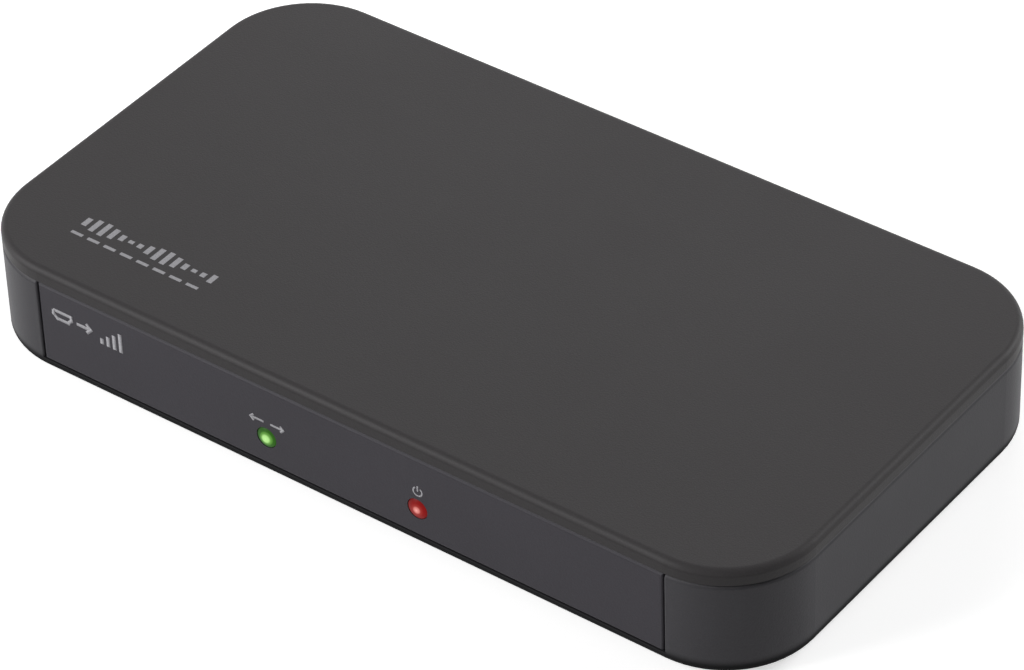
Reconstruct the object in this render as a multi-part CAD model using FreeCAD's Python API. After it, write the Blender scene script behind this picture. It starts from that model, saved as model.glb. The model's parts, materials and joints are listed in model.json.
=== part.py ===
import FreeCAD, Part
import math
import os

# All sizes are millimetres. X runs along the front, Y from front to rear, Z up.
# The origin is the centre of the footprint, on the surface the feet stand on.

# Case
case_width = 125.0
case_depth = 69.0
case_height = 16.8
corner_radius = 13.2
wall = 1.8
floor_thickness = 1.8
cover_thickness = 1.8
cover_skirt = 0.4
seam_gap = 0.3
panel_side_gap = 0.15
top_edge_round = 1.0
bottom_edge_round = 1.7
seam_edge_round = 0.5
post_edge_round = 0.3
vent_length = 11.0
vent_width = 1.6
vent_pitch = 4.0
vent_count = 6
vent_row_gap = 5.0
vent_end_round = 0.75

# Tongues and ribs that locate the cover and the panels
tongue_thickness = 1.0
tongue_depth = 1.6
tongue_root = 0.8
tongue_end_inset = 3.0
fit_gap = 0.15
tab_thickness = 1.2
tab_reach = 1.7
tab_root_width = 2.5
rib_thickness = 1.1
stop_length = 10.0
stop_height = 1.3
stop_inset = 8.0

# Feet
foot_radius = 4.0
foot_stand = 0.8
foot_pocket = 0.6
foot_edge_round = 0.35
foot_inset_x = 21.0
foot_inset_y = 10.0

# Screws through the floor into the cover
boss_inset = 11.0
boss_radius = 3.8
cover_boss_radius = 3.2
boss_height = 6.4
case_screw_radius = 1.25
case_screw_length = 9.0
case_head_radius = 2.3
case_head_height = 1.7
counterbore_depth = 4.2
counterbore_gap = 0.3
screw_free_gap = 0.15
thread_gap = 0.02
hole_run_out = 0.5

# Circuit board, its pillars and screws
board_thickness = 1.2
board_side_gap = 0.7
board_front_gap = 4.5
board_rear_gap = 0.45
pillar_height = 1.4
pillar_radius = 2.6
pillar_edge_distance = 3.5
pillar_rear_distance = 15.8
pillar_front_distance = 12.2
board_screw_radius = 0.98
board_screw_length = 3.4
board_head_radius = 2.0
board_head_height = 1.2
recess_arm = 0.5
recess_depth = 0.7
recess_span = 2.4

# Status lamps
lamp_spacing = 24.0
lamp_height = 1.8
lamp_radius = 1.5
lamp_hole_gap = 0.06
lamp_barrel = 1.35
lamp_dome = 0.85
lamp_flange_radius = 1.9
lamp_flange = 1.0
lead_width = 0.5
lead_pitch = 2.54
lead_tail = 0.8
lead_gap = 0.05
holder_width = 4.4
holder_height = 3.8
holder_grip = 2.0
holder_to_bend = 0.6

# Video sockets
hdmi_width = 14.6
hdmi_height = 5.15
hdmi_sheet = 0.3
hdmi_corner_cut = 1.7
hdmi_edge_round = 0.5
hdmi_length = 11.5
hdmi_proud = 0.2
hdmi_block_length = 4.5
hdmi_block_tail = 1.0
hdmi_block_gap = 0.02
hdmi_tongue_width = 11.0
hdmi_tongue_thickness = 1.3
hdmi_tongue_lift = 0.2
hdmi_tongue_recess = 1.8
contact_width = 0.4
contact_thickness = 0.12
contact_pitch = 1.0
contact_recess = 0.5
upper_contacts = 10
lower_contacts = 9
tail_width = 0.23
tail_pitch = 0.5
tail_foot = 1.2
tail_rise = 1.2
tail_thickness = 0.25
peg_width = 1.2
peg_inset = 3.0
peg_tail = 0.8
peg_gap = 0.15

# Optical audio socket
optical_width = 9.7
optical_height = 8.6
optical_length = 11.4
nose_side_step = 0.85
nose_step = 0.5
optical_wall = 0.6
optical_depth = 9.5
optical_septum = 1.5
shutter_pin_radius = 0.5
shutter_pin_gap = 0.03
shutter_pin_seat = 0.4
shutter_barrel_radius = 0.85
shutter_thickness = 0.8
shutter_recess = 1.4
shutter_gap = 0.15
spring_room = 2.1
spring_room_depth = 1.4
spring_wire = 0.24
spring_pitch = 0.5
spring_turns = 3.5
spring_leg = 2.2
emitter_size = 5.6
emitter_length = 3.2
ferrule_radius = 1.5
ferrule_reach = 1.0
emitter_lead_pitch = 2.0
emitter_lead_count = 3

# Headphone-size audio socket
audio_jack_width = 6.5
audio_jack_height = 6.0
audio_jack_length = 12.0
audio_bore_radius = 1.8
audio_bore_depth = 14.0
bushing_radius = 2.5
bushing_seat = 1.0
bushing_proud = 0.4
audio_strip_offset = 0.12
audio_strip_thickness = 0.2
audio_strip_height = 1.0
audio_strip_opening = 0.4
audio_strip_length = 6.0
audio_strip_inset = 2.4
strip_gap = 0.05

# Power socket
power_jack_width = 9.0
power_jack_height = 8.4
power_jack_length = 12.0
power_nose_radius = 3.7
power_nose_proud = 0.2
power_bore_radius = 3.0
power_bore_depth = 9.5
power_pin_radius = 1.05
power_pin_recess = 1.5
power_pin_root = 2.0
power_spring_width = 2.0
power_spring_thickness = 0.25
power_spring_offset = 0.1
power_spring_length = 5.0
socket_hole_gap = 0.2

# Mode switch
switch_width = 9.4
switch_height = 4.6
switch_length = 4.4
switch_sheet = 0.3
switch_travel = 2.0
switch_base_thickness = 1.4
switch_base_gap = 0.05
slider_width = 4.5
slider_thickness = 1.7
slider_gap = 0.1
slider_wall_gap = 0.1
stem_width = 2.2
stem_height = 2.0
stem_proud = 1.0
stem_gap = 0.2
stem_edge_round = 0.25
wiper_width = 3.2
wiper_finger = 0.8
wiper_thickness = 0.25
wiper_gap = 0.05
terminal_count = 4
terminal_width = 0.6
terminal_pitch = 2.0
terminal_thickness = 0.25
terminal_reach = 1.4

# Parts on the board
processor_size = 14.0
processor_thickness = 1.4
processor_gap = 9.0
pad_thickness = 0.5
processor_legs = 24
fine_leg_pitch = 0.5
heatsink_size = 20.0
heatsink_base = 1.5
fin_count = 8
fin_thickness = 0.9
fin_height = 4.0
chip_lift = 0.1
leg_width = 0.22
leg_thickness = 0.15
leg_shoulder = 0.3
leg_foot = 0.45
controller_size = 7.0
controller_thickness = 1.2
controller_legs = 12
dac_length = 5.0
dac_width = 4.4
dac_thickness = 1.0
dac_legs = 8
memory_length = 4.9
memory_width = 3.9
memory_thickness = 1.5
memory_legs = 4
memory_leg_pitch = 1.1
regulator_length = 6.5
regulator_width = 3.5
regulator_thickness = 1.6
regulator_legs = 3
regulator_leg_pitch = 2.1
surge_length = 2.5
surge_width = 1.4
surge_thickness = 0.6
surge_legs = 4
inductor_size = 6.0
inductor_height = 3.0
inductor_corner = 1.2
can_radius = 3.15
can_height = 4.6
can_base = 0.8
can_base_corner = 1.2
can_edge_round = 0.4
crystal_length = 11.3
crystal_width = 4.6
crystal_height = 3.4
crystal_end_round = 2.1
chip_part_length = 1.6
chip_part_width = 0.8
chip_capacitor_height = 0.8
chip_resistor_height = 0.5
chip_part_pitch = 3.0
chip_capacitor_column = 6
chip_resistor_row = 20
chip_part_edge_gap = 1.2
front_row_distance = 9.0
front_row_pitch = 12.0
front_row_steps = (-2, 0, 1.5, 2.5)
middle_row_distance = 2.6
part_gap = 2.0

# Levels and edges that follow from the sizes above
edge_tolerance = 0.001
half_width = case_width / 2
half_depth = case_depth / 2
base_z = foot_stand
top_z = base_z + case_height
floor_z = base_z + floor_thickness
ceiling_z = top_z - cover_thickness
lip_z = ceiling_z - cover_skirt
rim_z = lip_z - seam_gap
panel_half = half_width - corner_radius
opening_half = panel_half + panel_side_gap
panel_inner_y = half_depth - wall
tongue_outer_y = panel_inner_y - fit_gap
tongue_inner_y = tongue_outer_y - tongue_thickness
inner_radius = corner_radius - wall
tab_end = panel_half + tab_reach
tab_drop = math.sqrt(inner_radius ** 2 - tab_reach ** 2)
tab_outer_y = half_depth - corner_radius + tab_drop - fit_gap
tab_inner_y = tab_outer_y - tab_thickness
boss_x = half_width - boss_inset
boss_y = half_depth - boss_inset
boss_top = floor_z + boss_height
head_seat_z = base_z + counterbore_depth
board_z = floor_z + pillar_height
board_top = board_z + board_thickness
board_half = boss_x - boss_radius - board_side_gap
board_front = -(panel_inner_y - board_front_gap)
board_rear = tab_inner_y - board_rear_gap
pillar_x = board_half - pillar_edge_distance
pillar_rows = (board_front + pillar_front_distance, board_rear - pillar_rear_distance)
foot_x = half_width - foot_inset_x
foot_y = half_depth - foot_inset_y
socket_front = tongue_inner_y - fit_gap
lamp_z = board_top + lamp_height
hdmi_mouth = half_depth + hdmi_proud
hdmi_back = hdmi_mouth - hdmi_length
audio_z = board_top + audio_jack_height / 2
power_z = board_top + power_jack_height / 2
switch_z = board_top + switch_height / 2
optical_back = socket_front - optical_length
optical_end = half_depth - optical_depth
nose_bottom = board_top + nose_step
nose_top = board_top + optical_height - nose_step
nose_half = optical_width / 2 - nose_side_step
cavity_bottom = nose_bottom + optical_wall
cavity_top = nose_top - optical_wall
cavity_half = nose_half - optical_wall
shutter_y = half_depth - shutter_recess
shutter_z = cavity_top - shutter_barrel_radius - shutter_gap
shutter_half = cavity_half - shutter_gap


def block(x0, x1, y0, y1, z0, z1):
    return Part.makeBox(x1 - x0, y1 - y0, z1 - z0, FreeCAD.Vector(x0, y0, z0))


def standing_block(x, y, z, size_x, size_y, height):
    return block(x - size_x / 2, x + size_x / 2, y - size_y / 2, y + size_y / 2, z, z + height)


def post(radius, x, y, z0, z1):
    return Part.makeCylinder(radius, z1 - z0, FreeCAD.Vector(x, y, z0))


def rod_along_y(radius, x, z, y0, y1):
    along = FreeCAD.Vector(0, 1, 0)
    return Part.makeCylinder(radius, y1 - y0, FreeCAD.Vector(x, y0, z), along)


def rod_along_x(radius, y, z, x0, x1):
    along = FreeCAD.Vector(1, 0, 0)
    return Part.makeCylinder(radius, x1 - x0, FreeCAD.Vector(x0, y, z), along)


def join(first, others):
    return first.multiFuse(others).removeSplitter()


def prism(points, travel):
    outline = Part.makePolygon(points + [points[0]])
    return Part.Face(outline).extrude(travel)


def flat_edges(shape, axis, level):
    """Edges that lie wholly in the plane where the axis, such as Z, has this level."""
    found = []
    for edge in shape.Edges:
        low = getattr(edge.BoundBox, axis + "Min")
        high = getattr(edge.BoundBox, axis + "Max")
        if abs(low - level) < edge_tolerance and abs(high - level) < edge_tolerance:
            found.append(edge)
    return found


def edges_along(shape, axis):
    """Straight edges that run the way of the axis."""
    found = []
    for edge in shape.Edges:
        length = getattr(edge.BoundBox, axis + "Length")
        if len(edge.Vertexes) == 2 and abs(length - edge.Length) < edge_tolerance:
            found.append(edge)
    return found


def rounded_slab(width, depth, radius, z0, z1):
    slab = standing_block(0, 0, z0, width, depth, z1 - z0)
    return slab.makeFillet(radius, edges_along(slab, "Z"))


def mirrored(shape, axis):
    return shape.mirror(FreeCAD.Vector(0, 0, 0), axis)


def front_and_rear(shape):
    return [shape, mirrored(shape, FreeCAD.Vector(0, 1, 0))]


def left_and_right(shape):
    return [shape, mirrored(shape, FreeCAD.Vector(1, 0, 0))]


def corners(x, y):
    return [(side_x * x, side_y * y) for side_x in (-1, 1) for side_y in (-1, 1)]


def rear_places():
    """Centres of the rear sockets, spread along the board with equal gaps."""
    widths = {
        "audio_jack": audio_jack_width,
        "optical": optical_width,
        "hdmi_out": hdmi_width,
        "hdmi_in": hdmi_width,
        "mode_switch": switch_width,
        "power_jack": power_jack_width,
    }
    gap = (2 * board_half - sum(widths.values())) / (len(widths) + 1)
    places = {}
    left = gap - board_half
    for name, width in widths.items():
        places[name] = left + width / 2
        left += width + gap
    return places


place = rear_places()
board_pillars = [(side * pillar_x, y) for side in (-1, 1) for y in pillar_rows]
lamp_places = (-lamp_spacing / 2, lamp_spacing / 2)


# Case shells and panels
def bottom_shell():
    shell = rounded_slab(case_width, case_depth, corner_radius, base_z, rim_z)
    shell = shell.makeFillet(bottom_edge_round, flat_edges(shell, "Z", base_z))
    shell = shell.makeFillet(seam_edge_round, flat_edges(shell, "Z", rim_z))
    solid_case = shell
    inner_width = case_width - 2 * wall
    inner_depth = case_depth - 2 * wall
    inside = rounded_slab(inner_width, inner_depth, inner_radius, floor_z, top_z)
    opening = block(-opening_half, opening_half, 0, case_depth, floor_z, top_z)
    shell = shell.cut([inside] + front_and_rear(opening))
    shell = shell.makeFillet(post_edge_round, post_edges(shell))
    ribs = [rib.common(solid_case) for rib in panel_ribs()]
    stops = panel_stops()
    bosses = [post(boss_radius, x, y, base_z, boss_top) for x, y in corners(boss_x, boss_y)]
    pillars = [post(pillar_radius, x, y, base_z, board_z) for x, y in board_pillars]
    shell = join(shell, ribs + stops + bosses + pillars)
    return shell.cut(screw_holes() + foot_pockets() + floor_vents())


def post_edges(shell):
    """The upright outer edges of the corner posts, beside the panels."""
    found = []
    for edge in edges_along(shell, "Z"):
        middle = edge.CenterOfMass
        beside_panel = abs(abs(middle.x) - opening_half) < edge_tolerance
        if beside_panel and abs(middle.y) > half_depth - wall / 2:
            found.append(edge)
    return found


def panel_ribs():
    """Upright ribs that hold each panel's end tabs against the corner posts."""
    rib_outer = tab_inner_y - fit_gap
    rib_inner = rib_outer - rib_thickness
    rib_start = opening_half + fit_gap
    rib_end = half_width - wall
    rib = block(rib_start, rib_end, rib_inner, rib_outer, floor_z, rim_z - tongue_depth)
    ribs = []
    for side in left_and_right(rib):
        ribs += front_and_rear(side)
    return ribs


def panel_stops():
    """Low ribs on the floor behind the foot of each panel."""
    end = stop_inset + stop_length
    top = floor_z + stop_height
    stop = block(stop_inset, end, tongue_inner_y, tongue_outer_y, floor_z, top)
    stops = []
    for side in left_and_right(stop):
        stops += front_and_rear(side)
    return stops


def screw_holes():
    holes = []
    for x, y in corners(boss_x, boss_y):
        holes.append(post(case_screw_radius + screw_free_gap, x, y, base_z, boss_top))
        holes.append(post(case_head_radius + counterbore_gap, x, y, 0, head_seat_z))
    for x, y in board_pillars:
        screw_end = board_top - board_screw_length
        holes.append(post(board_screw_radius + thread_gap, x, y, screw_end - fit_gap, board_z))
    return holes


def foot_pockets():
    radius = foot_radius + fit_gap
    return [post(radius, x, y, 0, base_z + foot_pocket) for x, y in corners(foot_x, foot_y)]


def floor_vents():
    """Two rows of narrow slots under the middle of the board."""
    vents = []
    for number in range(vent_count):
        x = (number - (vent_count - 1) / 2) * vent_pitch
        near = vent_row_gap / 2
        slot = standing_block(x, near + vent_length / 2, 0, vent_width, vent_length, floor_z)
        vents += front_and_rear(slot.makeFillet(vent_end_round, edges_along(slot, "Z")))
    return vents


def top_cover():
    cover = rounded_slab(case_width, case_depth, corner_radius, lip_z, top_z)
    cover = cover.makeFillet(top_edge_round, flat_edges(cover, "Z", top_z))
    inner_width = case_width - 2 * wall
    inner_depth = case_depth - 2 * wall
    cover = cover.cut(rounded_slab(inner_width, inner_depth, inner_radius, 0, ceiling_z))
    tongue_end = half_depth - corner_radius
    outer_x = half_width - wall - fit_gap
    inner_x = outer_x - tongue_thickness
    tongue = block(inner_x, outer_x, -tongue_end, tongue_end, rim_z - tongue_depth, ceiling_z)
    bosses = [post(cover_boss_radius, x, y, boss_top, ceiling_z) for x, y in corners(boss_x, boss_y)]
    cover = join(cover, left_and_right(tongue) + bosses)
    hole_end = head_seat_z + case_screw_length + hole_run_out
    radius = case_screw_radius + thread_gap
    return cover.cut([post(radius, x, y, boss_top, hole_end) for x, y in corners(boss_x, boss_y)])


def rear_panel_blank():
    """A flush plate with end tabs that slide behind the posts and a tongue behind the cover."""
    plate = block(-panel_half, panel_half, panel_inner_y, half_depth, floor_z, rim_z)
    plate = plate.makeFillet(seam_edge_round, flat_edges(plate, "Y", half_depth))
    root_start = panel_half - tab_root_width
    root = block(root_start, panel_half, tab_inner_y, panel_inner_y, floor_z, rim_z - tongue_depth)
    tab = block(root_start, tab_end, tab_inner_y, tab_outer_y, floor_z, rim_z - tongue_depth)
    reach = panel_half - tongue_end_inset
    tongue_base = block(-reach, reach, tongue_inner_y, panel_inner_y, rim_z - tongue_root, rim_z)
    tongue_top = ceiling_z - fit_gap
    tongue = block(-reach, reach, tongue_inner_y, tongue_outer_y, rim_z - tongue_root, tongue_top)
    return join(plate, left_and_right(root) + left_and_right(tab) + [tongue_base, tongue])


def front_panel():
    panel = mirrored(rear_panel_blank(), FreeCAD.Vector(0, 1, 0))
    radius = lamp_radius + lamp_hole_gap
    return panel.cut([rod_along_y(radius, x, lamp_z, -half_depth, -panel_inner_y) for x in lamp_places])


def rear_panel():
    """The blank with one opening for each socket and for the switch stem."""
    near = tongue_inner_y
    far = half_depth
    cuts = []
    for name in ("hdmi_in", "hdmi_out"):
        cuts.append(hdmi_prism(place[name], -socket_hole_gap, near, far))
    x = place["optical"]
    nose = nose_half + socket_hole_gap
    low = nose_bottom - socket_hole_gap
    high = nose_top + socket_hole_gap
    cuts.append(block(x - nose, x + nose, near, far, low, high))
    round_sockets = (("audio_jack", bushing_radius, audio_z), ("power_jack", power_nose_radius, power_z))
    for name, radius, z in round_sockets:
        cuts.append(rod_along_y(radius + socket_hole_gap, place[name], z, near, far))
    cuts.append(stem_slot(near, far))
    return rear_panel_blank().cut(cuts)


def stem_slot(y0, y1):
    """The long hole that the switch stem runs in."""
    x = place["mode_switch"]
    half_length = stem_width / 2 + switch_travel + stem_gap
    half_height = stem_height / 2 + stem_gap
    low = switch_z - half_height
    return block(x - half_length, x + half_length, y0, y1, low, low + 2 * half_height)


# Feet and fasteners
def rubber_feet():
    feet = []
    for x, y in corners(foot_x, foot_y):
        foot = post(foot_radius, x, y, 0, base_z + foot_pocket)
        feet.append(foot.makeFillet(foot_edge_round, flat_edges(foot, "Z", 0)))
    return feet


def cross_recess(x, y, z0, z1):
    long_way = standing_block(x, y, z0, recess_span, recess_arm, z1 - z0)
    across = standing_block(x, y, z0, recess_arm, recess_span, z1 - z0)
    return [long_way, across]


def case_screws():
    screws = []
    head_z = head_seat_z - case_head_height
    for x, y in corners(boss_x, boss_y):
        head = post(case_head_radius, x, y, head_z, head_seat_z)
        shank = post(case_screw_radius, x, y, head_seat_z, head_seat_z + case_screw_length)
        screw = join(head, [shank])
        screws.append(screw.cut(cross_recess(x, y, head_z, head_z + recess_depth)))
    return screws


def board_screws():
    screws = []
    head_top = board_top + board_head_height
    for x, y in board_pillars:
        head = post(board_head_radius, x, y, board_top, head_top)
        shank = post(board_screw_radius, x, y, board_top - board_screw_length, board_top)
        screw = join(head, [shank])
        screws.append(screw.cut(cross_recess(x, y, head_top - recess_depth, head_top)))
    return screws


def main_board():
    board = block(-board_half, board_half, board_front, board_rear, board_z, board_top)
    radius = board_screw_radius + screw_free_gap
    holes = [post(radius, x, y, board_z, board_top) for x, y in board_pillars]
    for name in ("hdmi_in", "hdmi_out"):
        holes += hdmi_pegs(place[name], peg_gap)
    lead_hole = lead_width + 2 * lead_gap
    for x in lead_places():
        holes.append(standing_block(x, lead_bend_y(), 0, lead_hole, lead_hole, top_z))
    return board.cut(holes)


# Status lamps
def lamp(x):
    flange_y = -panel_inner_y
    flange = rod_along_y(lamp_flange_radius, x, lamp_z, flange_y, flange_y + lamp_flange)
    barrel_end = flange_y - lamp_barrel
    barrel = rod_along_y(lamp_radius, x, lamp_z, barrel_end, flange_y)
    ball_radius = (lamp_radius ** 2 + lamp_dome ** 2) / (2 * lamp_dome)
    ball_y = barrel_end - lamp_dome + ball_radius
    ball = Part.makeSphere(ball_radius, FreeCAD.Vector(x, ball_y, lamp_z))
    cap = ball.common(rod_along_y(lamp_radius, x, lamp_z, barrel_end - lamp_dome, barrel_end))
    return join(flange, [barrel, cap])


def power_led():
    return lamp(lamp_places[1])


def link_led():
    return lamp(lamp_places[0])


def lead_places():
    return [x + side * lead_pitch / 2 for x in lamp_places for side in (-1, 1)]


def lead_bend_y():
    return board_front + holder_grip + holder_to_bend


def led_leads():
    leads = []
    half = lead_width / 2
    bend = lead_bend_y()
    back = -panel_inner_y + lamp_flange
    for x in lead_places():
        level = block(x - half, x + half, back, bend + half, lamp_z - half, lamp_z + half)
        upright = block(x - half, x + half, bend - half, bend + half, board_z - lead_tail, lamp_z)
        leads.append(join(level, [upright]))
    return leads


def led_holders():
    """Spacer blocks on the board's front edge that the lamp leads pass through."""
    holders = []
    back = -panel_inner_y + lamp_flange
    grip_end = board_front + holder_grip
    half = holder_width / 2
    bore = lead_width / 2 + lead_gap
    for x in lamp_places:
        holder = block(x - half, x + half, back, grip_end, board_top, board_top + holder_height)
        holes = []
        for lead in (x - lead_pitch / 2, x + lead_pitch / 2):
            holes.append(block(lead - bore, lead + bore, back, grip_end, lamp_z - bore, lamp_z + bore))
        holders.append(holder.cut(holes))
    return holders


# Video sockets
def hdmi_prism(x, inset, y0, y1):
    """The socket's outline, wide side up with its lower corners cut off, moved inwards by the inset."""
    side = hdmi_width / 2 - inset
    low = board_top + inset
    high = board_top + hdmi_height - inset
    cut = hdmi_corner_cut - (2 - math.sqrt(2)) * inset
    left = [(-side, high), (-side, low + cut), (-side + cut, low)]
    right = [(side - cut, low), (side, low + cut), (side, high)]
    corner_points = [FreeCAD.Vector(x + u, y0, z) for u, z in left + right]
    body = prism(corner_points, FreeCAD.Vector(0, y1 - y0, 0))
    return body.makeFillet(hdmi_edge_round, edges_along(body, "Y"))


def hdmi_pegs(x, grow):
    """The four legs that the shell is soldered into the board with."""
    pegs = []
    top = board_top + hdmi_height / 2
    bottom = board_z - peg_tail
    outer = hdmi_width / 2 + grow
    inner = hdmi_width / 2 - hdmi_sheet - grow
    half = peg_width / 2 + grow
    for y in (hdmi_back + hdmi_block_tail + peg_inset / 2, board_rear - peg_inset):
        pegs.append(block(x + inner, x + outer, y - half, y + half, bottom, top))
        pegs.append(block(x - outer, x - inner, y - half, y + half, bottom, top))
    return pegs


def hdmi_shell(x):
    start = hdmi_back + hdmi_block_tail
    outer = hdmi_prism(x, 0, start, hdmi_mouth)
    inner = hdmi_prism(x, hdmi_sheet, start, hdmi_mouth)
    return join(outer.cut(inner), [peg.cut(inner) for peg in hdmi_pegs(x, 0)])


def hdmi_tongue_middle():
    return board_top + hdmi_height / 2 + hdmi_tongue_lift


def hdmi_insulator(x):
    block_end = hdmi_back + hdmi_block_length
    plug = hdmi_prism(x, hdmi_sheet + hdmi_block_gap, hdmi_back, block_end)
    middle = hdmi_tongue_middle()
    half = hdmi_tongue_width / 2
    thick = hdmi_tongue_thickness / 2
    tip = hdmi_mouth - hdmi_tongue_recess
    tongue = block(x - half, x + half, hdmi_back, tip, middle - thick, middle + thick)
    return join(plug, [tongue])


def hdmi_contacts(x):
    """Contacts above and below the tongue, and their solder tails behind the block."""
    contacts = []
    start = hdmi_back + hdmi_block_length
    end = hdmi_mouth - hdmi_tongue_recess - contact_recess
    surface = hdmi_tongue_thickness / 2
    half = contact_width / 2
    for count, base in ((upper_contacts, surface), (lower_contacts, -surface - contact_thickness)):
        z = hdmi_tongue_middle() + base
        for number in range(count):
            middle = x + (number - (count - 1) / 2) * contact_pitch
            contacts.append(block(middle - half, middle + half, start, end, z, z + contact_thickness))
    tail_count = upper_contacts + lower_contacts
    foot_y = hdmi_back - tail_foot / 2
    riser_y = hdmi_back - tail_thickness / 2
    for number in range(tail_count):
        middle = x + (number - (tail_count - 1) / 2) * tail_pitch
        foot = standing_block(middle, foot_y, board_top, tail_width, tail_foot, tail_thickness)
        riser = standing_block(middle, riser_y, board_top, tail_width, tail_thickness, tail_rise)
        contacts.append(join(foot, [riser]))
    return contacts


# Optical audio socket
def optical_housing():
    x = place["optical"]
    half = optical_width / 2
    body = block(x - half, x + half, optical_back, socket_front, board_top, board_top + optical_height)
    nose = block(x - nose_half, x + nose_half, socket_front, half_depth, nose_bottom, nose_top)
    body = join(body, [nose])
    cavity = block(x - cavity_half, x + cavity_half, optical_end, half_depth, cavity_bottom, cavity_top)
    return body.cut([cavity, shutter_pin_hole(x)] + emitter_pocket(x))


def shutter_pin_hole(x):
    reach = cavity_half + shutter_pin_seat
    return rod_along_x(shutter_pin_radius, shutter_y, shutter_z, x - reach, x + reach)


def emitter_pocket(x):
    """The recess at the back, its hole to the cavity and the open way down for the leads."""
    half = emitter_size / 2 + fit_gap
    middle = (cavity_bottom + cavity_top) / 2
    pocket_end = optical_end - optical_septum
    pocket = block(x - half, x + half, optical_back, pocket_end, board_top, middle + half)
    window = rod_along_y(ferrule_radius + fit_gap, x, middle, pocket_end, optical_end)
    return [pocket, window]


def optical_shutter_pin():
    return shutter_pin_hole(place["optical"])


def optical_shutter():
    """A flap on a barrel round the pin, hanging closed just inside the mouth."""
    x = place["optical"]
    half = shutter_thickness / 2
    bottom = cavity_bottom + shutter_gap
    flap = block(x - shutter_half, x + shutter_half, shutter_y - half, shutter_y + half, bottom, shutter_z)
    barrel_end = x + shutter_half - spring_room
    barrel = rod_along_x(shutter_barrel_radius, shutter_y, shutter_z, x - shutter_half, barrel_end)
    flap = join(flap, [barrel])
    radius = shutter_pin_radius + shutter_pin_gap
    bore = rod_along_x(radius, shutter_y, shutter_z, x - shutter_half, x + shutter_half)
    notch_bottom = shutter_z - spring_room_depth
    notch = block(barrel_end, x + shutter_half, shutter_y - half, shutter_y + half, notch_bottom, shutter_z)
    return flap.cut([bore, notch])


def optical_shutter_spring():
    """A small torsion coil round the pin with a leg down the inner face of the flap."""
    wire_radius = spring_wire / 2
    coil_radius = shutter_barrel_radius - wire_radius
    height = spring_turns * spring_pitch
    helix = Part.makeHelix(spring_pitch, height, coil_radius)
    start = FreeCAD.Vector(coil_radius, 0, 0)
    slope = FreeCAD.Vector(0, 2 * math.pi * coil_radius, spring_pitch)
    section = Part.Wire(Part.makeCircle(wire_radius, start, slope))
    coil = Part.Wire(helix.Edges).makePipeShell([section], True, True)
    backwards = FreeCAD.Vector(0, -1, 0)
    leg = Part.makeCylinder(wire_radius, spring_leg, FreeCAD.Vector(coil_radius, 0, 0), backwards)
    spring = join(coil, [leg])
    spring.rotate(FreeCAD.Vector(0, 0, 0), FreeCAD.Vector(0, 1, 0), 90)
    spring.rotate(FreeCAD.Vector(0, 0, 0), FreeCAD.Vector(1, 0, 0), 90)
    room_start = place["optical"] + shutter_half - spring_room
    spring.translate(FreeCAD.Vector(room_start + (spring_room - height) / 2, shutter_y, shutter_z))
    return spring


def optical_emitter():
    x = place["optical"]
    half = emitter_size / 2
    middle = (cavity_bottom + cavity_top) / 2
    seat = optical_end - optical_septum
    body = block(x - half, x + half, seat - emitter_length, seat, middle - half, middle + half)
    ferrule = rod_along_y(ferrule_radius, x, middle, seat, optical_end + ferrule_reach)
    leads = []
    for number in range(emitter_lead_count):
        lead_x = x + (number - (emitter_lead_count - 1) / 2) * emitter_lead_pitch
        lead_y = seat - emitter_length / 2
        drop = middle - half - board_top
        leads.append(standing_block(lead_x, lead_y, board_top, lead_width, lead_width, drop))
    return join(body, [ferrule] + leads)


# Headphone-size audio socket
def audio_strips(x, grow, opening=0):
    """Two contact strips beside the bore, each with a leg down to the board."""
    strips = []
    inner = audio_bore_radius + audio_strip_offset - grow - opening
    outer = audio_bore_radius + audio_strip_offset + audio_strip_thickness + grow
    start = socket_front - audio_strip_inset - audio_strip_length - grow
    end = socket_front - audio_strip_inset + grow
    half = audio_strip_height / 2 + grow
    leg_end = start + audio_strip_height + 2 * grow
    for side in (-1, 1):
        near, far = sorted((x + side * inner, x + side * outer))
        strip = block(near, far, start, end, audio_z - half, audio_z + half)
        leg = block(near, far, start, leg_end, board_top, audio_z)
        strips.append(join(strip, [leg]))
    return strips


def audio_jack_housing():
    x = place["audio_jack"]
    half = audio_jack_width / 2
    back = socket_front - audio_jack_length
    body = block(x - half, x + half, back, socket_front, board_top, board_top + audio_jack_height)
    mouth = half_depth + bushing_proud
    bore = rod_along_y(audio_bore_radius, x, audio_z, mouth - audio_bore_depth, socket_front)
    seat = rod_along_y(bushing_radius, x, audio_z, socket_front - bushing_seat, socket_front)
    return body.cut([bore, seat] + audio_strips(x, strip_gap, audio_strip_opening))


def audio_jack_bushing():
    x = place["audio_jack"]
    start = socket_front - bushing_seat
    mouth = half_depth + bushing_proud
    sleeve = rod_along_y(bushing_radius, x, audio_z, start, mouth)
    return sleeve.cut(rod_along_y(audio_bore_radius, x, audio_z, start, mouth))


def audio_jack_contacts():
    return audio_strips(place["audio_jack"], 0)


# Power socket
def power_spring(grow):
    """The leaf under the bore that touches the plug's sleeve, with its leg to the board."""
    x = place["power_jack"]
    half = power_spring_width / 2 + grow
    top = power_z - power_bore_radius - power_spring_offset + grow
    bottom = top - power_spring_thickness - 2 * grow
    end = socket_front - power_spring_offset + grow
    start = end - power_spring_length - 2 * grow
    leaf = block(x - half, x + half, start, end, bottom, top)
    leg = block(x - half, x + half, start, start + power_spring_thickness + 2 * grow, board_top, top)
    return join(leaf, [leg])


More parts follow.
